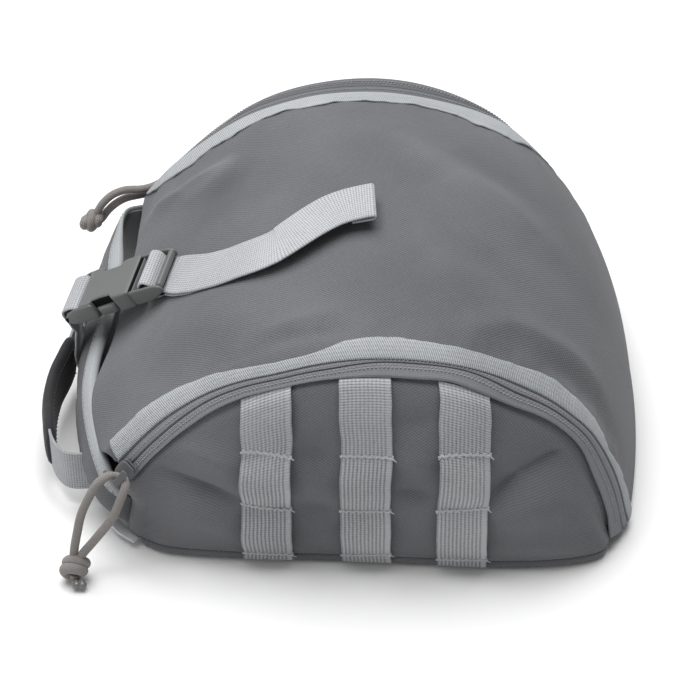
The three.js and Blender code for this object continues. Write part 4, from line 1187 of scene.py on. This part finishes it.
def box_outline(a0, a1, b0, b1, radius, steps=5):
    """Rounded rectangle, anticlockwise."""
    return round_outline([(a0, b0), (a1, b0), (a1, b1), (a0, b1)], radius, steps)


print("kit: plates and lofts")

# %% [markdown]
# The side-release buckle
#
# The buckle lies on the slope between flap and dome. Its socket half has a waist on each side
# where the latch prongs can be pinched, and its ladder half carries the strap round a bar. Both
# could be cut from blocks, but cuts leave uneven shading, so they are put together from plates and
# a loft. Near-black plates in their hollows and slots are painted shade. All use the buckle's own
# axes: along it, across it, and out of its face.

# %% Buckle halves
BUCKLE_START = np.array([-160.3, 6, 66.6])
buckle_along = unit(np.array([-108.1, -10.2, 100.4]) - BUCKLE_START)
buckle_across = unit(np.cross([-0.54, 0.02, 0.84], buckle_along))
buckle_axes = np.stack([buckle_along, buckle_across, np.cross(buckle_along, buckle_across)])
on_edge = buckle_axes[[0, 2, 1]] * np.array([[1], [1], [-1]])


def in_buckle(route):
    """Places on the buckle's middle line, from lengths along it and heights out of its face."""
    return BUCKLE_START + np.array(route, float) @ buckle_axes[[0, 2]]


def flat_part(outline, low, high, edge):
    """Plate that lies in the buckle's face."""
    return plate(outline, low, high, edge, BUCKLE_START, buckle_axes)


def side_parts(outline, near, far, edge):
    """The same upright plate on both sides of the buckle."""
    spans = ((near, far), (-far, -near))
    return [plate(outline, low, high, edge, BUCKLE_START, on_edge) for low, high in spans]


socket = columns("a half deep", [
    (10.6, 12.4, 3.8), (11.0, 13.3, 4.9), (12.0, 13.9, 5.5), (15, 14.2, 5.6), (18.0, 14.2, 5.6),
    (19.4, 13.2, 5.6), (20.4, 11.2, 5.6), (26, 10.7, 5.6), (32.6, 11.2, 5.6), (33.6, 12.8, 5.6),
    (35.0, 14.2, 5.6), (37, 14.5, 5.6), (42, 14.5, 5.6), (44.8, 14.4, 5.5), (45.6, 13.8, 5.0)])
cheek = round_outline(
    [(0.2, -2.2), (3.5, -4.8), (20, -5.2), (20, 4.9), (9, 5.0), (2.6, 3.2), (0.2, 0.8)], 2.0)
socket_shells = [
    loft(socket["a"], socket["half"], socket["deep"], 1.1, BUCKLE_START, buckle_axes),
    flat_part(box_outline(1.0, 6.4, -13.4, 13.4, 1.6), -3.0, 3.0, 1.3),
    *side_parts(cheek, 12.8, 14.6, 0.8)]
piece("buckle_female", socket_shells, buckle_plastic, ["buckle_female"], sharp=50)

rail = round_outline([(45.9, -4.9), (58, -4.8), (66.2, -1.4), (66.2, 2.2), (62.5, 4.1), (45.9, 4.9)], 1.6)
prong = np.array([(21.0, 11.3), (33.2, 11.3), (33.7, 13.2), (32.2, 14.3), (23.4, 14.4), (21.2, 13.0)])
bars = [(46.9, 47.5, 0.25, -4.6, 3.8), (53.4, 57.0, 1.2, -2.6, 3.2), (63.2, 66.0, 1.0, -0.4, 3.6)]
ladder_shells = side_parts(rail, 12.9, 14.6, 0.8)
for a0, a1, edge_radius, low, high in bars:
    ladder_shells.append(flat_part(box_outline(a0, a1, -13, 13, edge_radius), low, high, edge_radius))
for corners in (prong, prong[::-1] * [1, -1]):
    ladder_shells.append(flat_part(round_outline(corners, 0.8), -4.8, 0.6, 0.7))
piece("buckle_male", ladder_shells, buckle_plastic, ["buckle_male"], sharp=50)

# Near-black plates that paint the shade in the buckle's hollows and slots.
hollows = [
    (20.0, 33.9, -11.7, -10.0, 4.6), (20.0, 33.9, 10.0, 11.7, 4.6), (45.3, 46.4, -12.8, 12.8, 4.7),
    (60.6, 63.6, -12.8, 12.8, 0.8)]
hollow_shade_shells = [flat_part(box_outline(*spans, 0.4), -4.5, top, 0.2) for *spans, top in hollows]
piece("buckle_hollow_shade", hollow_shade_shells, hollow_shade)

# %% [markdown]
# Straps
#
# The closing strap is sewn to the dome, turns up round the ladder's bar, and its free tail lies
# back over the dome to a folded hem. A short loop of the same webbing holds the socket half to the
# flap. Simulated webbing could drape so, but its way through the buckle has to be given anyway. So
# both straps are bands along given routes.

# %% Strap and buckle loop
def strap_band(points, across, count, width=WEBBING_WIDTH, thick=WEBBING_WALL):
    """Webbing along a smooth curve, its direction across carried from point to point."""
    rows = spaced(np.hstack([points, across]), count)
    path, over = rows[:, :3], rows[:, 3:]
    tangent = unit(np.gradient(path, axis=0))
    over = unit(over - tangent * np.sum(over * tangent, axis=1, keepdims=True))
    return band(path, over, np.cross(tangent, over), width, thick, 13), path


def on_dome(rows, count):
    """Places at a given lift above the dome, evenly sampled from a table of x, y and lift."""
    x, y, lift = along(np.array(rows, float), np.linspace(0, 1, count)).T
    return np.stack([x, y, dome_height(x, y) + lift], -1)


anchor = on_dome([(-86, -23, 1.1), (-92, -20, 1.2), (-99, -15.5, 2.2)], 4)
thread_route = [
    (66, -4.7), (59, -4.9), (54.5, -4.7), (52.2, -2.6), (51.5, 1), (52.5, 4.4), (54.8, 6.3), (57.0, 6.0),
    (58.8, 4.2), (59.6, 1.4), (60.2, -1.0), (62.2, -2.7), (67, -3.0)]
threaded = in_buckle(thread_route)
tail = on_dome([
    (-98, -17, 4.2), (-90, -22.5, 3.3), (-80, -27.5, 3.2), (-71, -30.5, 3.9), (-54, -34, 6), (-43, -32, 8),
    (-24, -21.5, 8), (-13, -18, 8.2), (-1, -17.2, 9.4)], 18)
way = unit(np.gradient(tail, axis=0))
tail_up = dome_up(tail[:, 0], tail[:, 1])
hem_route = np.array([(1.1, -0.9), (0.2, -2.1), (-5, -2.2), (-11, -2.0)])
hem = tail[-1] + hem_route @ np.stack([way[-1], tail_up[-1]])
anchor_over = np.cross(dome_up(anchor[:, 0], anchor[:, 1]), -unit(np.gradient(anchor, axis=0)))
tail_over = np.cross(tail_up, way)
points = np.concatenate([anchor, threaded, tail, hem])
across_buckle = np.tile(buckle_across, (len(threaded), 1))
over = np.concatenate([anchor_over, across_buckle, tail_over, np.repeat(tail_over[-1:], len(hem), axis=0)])
strap_shell, strap_path = strap_band(points, over, 340)
piece("closing_strap", [strap_shell], webbing, ["closing_strap"])
print("closing strap", round(run_length(strap_path)[-1]), "mm")

LOOP_AT = 0.555
w = np.array([0.2, 0.35, 0.5, 0.62])
flap_over = unit(flap_point(LOOP_AT + 0.01, w) - flap_point(LOOP_AT - 0.01, w))
flap_rise = flap_point(LOOP_AT, w + 0.01) - flap_point(LOOP_AT, w - 0.01)
stand_off = np.array([1.2, 1.2, 1.4, 2.6])[:, None]
climb = flap_point(LOOP_AT, w) + unit(np.cross(flap_rise, flap_over)) * stand_off
loop_route = [
    (-1.7, -3.4), (-1.7, 1.2), (-0.8, 3.5), (1.4, 4.8), (5.4, 5.0), (8.2, 4.0), (9.2, 1.6), (9, -2),
    (7.5, -5.4), (5, -8.6)]
looped = in_buckle(loop_route)
upright_part = np.array([(-160.7, 9.7, 42), (-160.2, 9, 49), (-159.6, 8.2, 56)])
edge_on = np.tile([-0.02, 1.0, 0.0], (3, 1))
points = np.concatenate([climb, upright_part, looped])
over = np.concatenate([flap_over, edge_on, np.tile(buckle_across, (len(looped), 1))])
loop_shell, loop_path = strap_band(points, over, 110)
piece("buckle_webbing", [loop_shell], webbing, ["buckle_webbing"])
print("buckle webbing", round(run_length(loop_path)[-1]), "mm")

# %% [markdown]
# The carry handle
#
# An upright loop of webbing stands out from the flap, with a padded dark sleeve round its middle.
# The sleeve could be a thickened copy of the webbing, but then it would look hard. So it is a flat
# oval section along the same path, drawn in at both ends and slightly crumpled.

# %% Handle
HANDLE_HEIGHT, HANDLE_STATIONS = 24, 130
SLEEVE_SPAN, SLEEVE_GIRTH = (9.4 / 33, 24 / 33), 68


def bent_power(values, power):
    """Sign of a value times its size to a power, which squares up a circle's cosine and sine."""
    return np.sign(values) * np.abs(values) ** power


handle_rows = [
    (-143, -80), (-157, -80.5), (-163.5, -76), (-168.5, -66.5), (-171.5, -52), (-173, -34), (-171.8, -16),
    (-168.4, -1), (-165.3, 14), (-163.5, 30), (-161.6, 45), (-158.6, 57)]
x, y = along(np.array(handle_rows, float), np.linspace(0, 1, HANDLE_STATIONS)).T
handle_path = np.stack([x, y, np.full(HANDLE_STATIONS, HANDLE_HEIGHT)], -1)
upright = np.tile([0.0, 0.0, 1.0], (HANDLE_STATIONS, 1))
handle_shell, _ = strap_band(handle_path, upright, HANDLE_STATIONS)
piece("handle_webbing", [handle_shell], webbing, ["handle_webbing"])

first, last = (round((HANDLE_STATIONS - 1) * share) for share in SLEEVE_SPAN)
sleeve_path = handle_path[first:last + 1]
sleeve_way = unit(np.gradient(sleeve_path, axis=0))
sleeve_out = np.cross(sleeve_way, [0, 0, 1])
turn = np.linspace(0, 2 * np.pi, 48, endpoint=False)
high, deep = bent_power(np.cos(turn), 0.7)[:, None], -bent_power(np.sin(turn), 0.8)[:, None]
drawn = (1 - 0.35 * np.abs(np.linspace(-1, 1, len(sleeve_path))) ** 10)[:, None, None]
crumple = 1 + 0.035 * (ripple(sleeve_path[:, 1], 5, 34.0)[:, None] * np.cos(2 * turn + 0.6))[..., None]
oval = np.array([0, 0, 15.1]) * high + sleeve_out[:, None] * 3.4 * deep
uv = grid_uv(np.linspace(0, SLEEVE_GIRTH, 49), run_length(sleeve_path))
sleeve_shell = shell(sleeve_path[:, None] + drawn * crumple * oval, uv, wrap=True, cap=True)
sleeve = piece("handle_sleeve", [sleeve_shell], sleeve_cloth, ["handle_sleeve"])

# %% [markdown]
# Small hardware
#
# A tape end peeps out under the flap's front corner, in a pale tape that paints light into the shade
# of the flap's overhang. At the mouth end of each zip sits a small painted slider with a pull tab,
# behind which the pull cord closes. The front one also has a ring. A slider could be one smooth lump
# at this size, but separate plates keep the space between them that makes it read as metal.

# %% Tab and sliders
tab_points = np.array([(-135.4, -98.4, 4.6), (-129.9, -105.6, 4.6), (-122.2, -111.8, 4.6)])
tab_shell, _ = strap_band(tab_points, np.tile([-0.7, -0.71, 0.1], (3, 1)), 16, 6.4, 1.2)
piece("corner_tab", [tab_shell], tab_tape_painted_light, ["corner_tab"])

slider_outline = round_outline(
    [(-3.6, -3), (-1, -4.8), (5, -4.8), (7, -3.6), (7, 3.6), (5, 4.8), (-1, 4.8), (-3.6, 3)], 1.0)
pulls = {
    -1: ((-124.2, -124.6, 63.6), (-129.4, -127.4, 57.8), away),
    1: ((-121, 113.5, 61.5), (-119.6, 121.5, 59.8), (-0.3, 0.3, 0.9))}
SLIDER_STANDS = {-1: 1, 1: 0.75}


def pull_ring(origin, axes):
    """Squared ring that stands across a slider, with a round wire carried along it."""
    angle = np.linspace(0, 2 * np.pi, 40, endpoint=False)
    bend = np.stack([bent_power(np.cos(angle), 0.6) * 4.1, bent_power(np.sin(angle), 0.6) * 3.25], -1)
    bend = bend @ axes[1:]
    around = np.linspace(0, 2 * np.pi, 12, endpoint=False)[:, None]
    wire = unit(bend)[:, None] * np.cos(around) - axes[0] * np.sin(around)
    centre = origin + np.array([-2.2, -2.6, 4.6]) @ axes
    return shell(centre + bend[:, None] + wire * 0.7, wrap=True, wrap_rows=True)


for place_name, side in seams.items():
    name = f"zip_slider_{place_name}"
    origin, axes = slider_seat(side)
    tall = SLIDER_STANDS[side]
    shells = [plate(slider_outline, 0, 1.3 * tall, 0.4, origin, axes),
              plate(slider_outline * 0.92, 1.9 * tall, 3.2 * tall, 0.4, origin, axes),
              plate(box_outline(2.5, 5, -1.2, 1.2, 0.4), 0.8 * tall, 2.4 * tall, 0.3, origin, axes)]
    pull_from, pull_to, facing = (np.array(v, float) for v in pulls[side])
    pull_along = unit(pull_to - pull_from)
    pull_across = unit(np.cross(facing, pull_along))
    pull_axes = np.stack([pull_along, pull_across, np.cross(pull_along, pull_across)])
    shells.append(plate(box_outline(-0.8, 7.8, -1.9, 1.9, 1.2), -0.6, 0.6, 0.4, pull_from, pull_axes))
    if side < 0:
        shells.append(pull_ring(origin, axes))
    piece(name, shells, slider_metal, [name], sharp=50)

# %% [markdown]
# Stitching
#
# Stitches are what make cloth read as sewn: rows of short straight ones along the zip and the
# binding, and dense zigzag bar tacks across each webbing strip. A texture could draw them, but
# only real shapes catch the light. So every stitch is a small bent tube whose ends dive into the
# cloth, and a whole row is one array.

# %% Stitches
STITCH_STEPS, STITCH_SIDES = 5, 6


def stitches(centres, ways, ups, length, radius, sink=0.5):
    """Bent tubes: place = centre + way s length + up (0.6 radius - sink (2 s)^4), with a ring of corners
    at each step, and closed ends."""
    s = np.linspace(-0.5, 0.5, STITCH_STEPS)
    angle = np.linspace(0, 2 * np.pi, STITCH_SIDES, endpoint=False)
    ways, ups = unit(ways), unit(ups)
    sides = unit(np.cross(ups, ways))
    ups = np.cross(ways, sides)
    line = centres[:, None] + ways[:, None] * (s * length)[None, :, None]
    line = line + ups[:, None] * (radius * 0.6 - sink * (2 * s) ** 4)[None, :, None]
    ring = sides[:, None] * np.cos(angle)[None, :, None] - ups[:, None] * np.sin(angle)[None, :, None]
    points = line[:, :, None] + radius * ring[:, None]
    index = np.arange(points.size // 3).reshape(points.shape[:3])
    loop = np.concatenate([index, index[:, :, :1]], axis=2)
    cells = [loop[:, :-1, :-1], loop[:, 1:, :-1], loop[:, 1:, 1:], loop[:, :-1, 1:]]
    quads = np.stack(cells, -1).reshape(-1, 4)
    ends = np.concatenate([index[:, 0], index[:, -1, ::-1]])
    uv = np.random.default_rng(7).uniform(0, 5, (quads.size + ends.size, 2))
    return {"points": points.reshape(-1, 3), "faces": [quads, ends], "uv": uv}


def seam_row(side, share, rise, pitch=2.0):
    """A row of stitches along a zip, at a share of the way from the tape's lower edge to the zip's."""
    fine = np.linspace(0.02, 0.985, 900)
    q = zip_place(side, fine, share)
    run = run_length(roll_point(fine, side, q))
    u = np.interp(np.arange(pitch, run[-1] - pitch, pitch), run, fine)
    q = np.interp(u, fine, q)
    here = roll_point(u, side, q)
    way = roll_point(u + 2e-3, side, q) - here
    up = unit(np.cross(way, roll_point(u, side, q + 0.5) - here)) * side
    return stitches(here + up * rise, way, up, 1.5, 0.3)


ZIP_ROWS = ((0.2, 0.3), (0.55, 0.62), (0.66, 0.8))
for place_name, side in seams.items():
    rows = [seam_row(side, share, rise) for share, rise in ZIP_ROWS]
    piece(f"zip_stitches_{place_name}", rows, zip_thread)

# %% [markdown]
# Bar tacks
#
# A tack holds a strip to the pocket. Copies of one tack could be placed, but each lies on cloth of
# its own slope. So it is made in place: zigzag stitches over straight ones, with the thread's end
# running out at one edge. The front tacks slope a little across their strips.

# %% Bar tacks
TACK_STITCHES = 15
TACK_SLOPE = [(0.05, 0.023, 0.004), (-0.002, -0.006, -0.008), (-0.028, -0.022, -0.008)]
e = np.linspace(-WEBBING_WIDTH / 2 + 0.6, WEBBING_WIDTH / 2 - 0.6, TACK_STITCHES)
to_and_fro = np.where(np.arange(TACK_STITCHES) % 2, 1, -1)[:, None]
run_out = np.linspace(0, 1, 9)[:, None]
for place_name, side in seams.items():
    for number, row in enumerate(strip_rows, 1):
        shells, seed = [], STRIP_SEED + number
        for tack, slope in zip(row[2], TACK_SLOPE[number - 1]):
            w = tack + slope * (side < 0) * e / 12
            here = strip_point(side, row, w, e, 0.7, seed)
            over = unit(strip_point(side, row, w, e + 0.4, 0.7, seed) - here)
            down = unit(strip_point(side, row, w + 0.008, e, 0.7, seed) - here)
            up = unit(np.cross(over, down)) * side
            shells.append(stitches(here, over * 0.55 + down * to_and_fro * 0.85, up, 3.1, 0.42, 0.6))
            shells.append(stitches(here, over, up, 2.4, 0.4, 0.3))
            last = here[-1] + over[-1] * (3.4 * run_out - 1) + down[-1] * (1.6 * run_out**2)
            shells.append(tube(last + up[-1] * 0.4, 0.3, 6, up[-1]))
        piece(f"bar_tacks_{place_name}_{number}", shells, thread)

# %% [markdown]
# Rows on the binding and the sleeve
#
# Straight stitches hold the lower edge of the binding, and two dark rows run along the sleeve.
# They could be lines in the finish, but use the stitches above at no extra cost.

# %% Binding and sleeve rows
v = np.interp(np.arange(4, binding_run[-1] - 4, 3.2), binding_run, along_binding)
top, rise, room, slim = binding_measure(v)
way = flap_point(v + 2e-3, 1.0) - top
out = unit(np.cross(rise, way))
row = stitches(top + out * 1.55 * slim - rise * 5.2 * room * slim, way, out, 2.2, 0.28)
piece("binding_stitches", [row], zip_thread)

places = np.arange(4, len(sleeve_path) - 4, 2)
rows = []
for height in (9.5, -9.5):
    centres = sleeve_path[places] + sleeve_out[places] * 3.0 + np.array([0, 0, height])
    rows.append(stitches(centres, sleeve_way[places], sleeve_out[places], 1.6, 0.28))
piece("sleeve_stitches", rows, dark_thread)

# %% [markdown]
# Floor and light
#
# The bag stands on a pale sheet under one large soft light overhead, with a weak fill from the
# left and a weak sky all round. A sky picture could light it too, but two plain lights are easier
# to tune. They make the top bright and leave the front pocket at about half its light, as in the
# photograph.

# %% Floor and light
floor_mesh = bpy.data.meshes.new("floor")
floor_mesh.from_pydata([(-4, -4, 0), (4, -4, 0), (4, 4, 0), (-4, 4, 0)], [], [(0, 1, 2, 3)])
floor = bpy.data.objects.new("floor", floor_mesh)
bpy.context.scene.collection.objects.link(floor)
floor_finish = bpy.data.materials.new("floor")
floor_finish.use_nodes = True
floor_shader = floor_finish.node_tree.nodes["Principled BSDF"]
floor_shader.inputs["Base Color"].default_value = (0.86, 0.86, 0.86, 1)
floor_shader.inputs["Roughness"].default_value = 0.9
floor_mesh.materials.append(floor_finish)


def soft_light(name, power, size, location, turn):
    """A square area light, aimed by its rotation."""
    lamp = bpy.data.lights.new(name, "AREA")
    lamp.energy = power
    lamp.size = size
    held = bpy.data.objects.new(name, lamp)
    held.location = location
    held.rotation_euler = np.radians(turn)
    bpy.context.scene.collection.objects.link(held)


soft_light("overhead", 45, 1.6, (-0.15, 0.28, 1.65), (-10, -5, 0))
soft_light("left_fill", 7, 1.4, (-1.7, -1.0, 0.7), (73, 0, -60))
world = bpy.data.worlds.new("studio")
world.use_nodes = True
world.node_tree.nodes["Background"].inputs["Color"].default_value = (1, 1, 1, 1)
world.node_tree.nodes["Background"].inputs["Strength"].default_value = 0.27
bpy.context.scene.world = world
bpy.context.scene.view_settings.view_transform = "Standard"
print("lights:", len(bpy.data.lights))
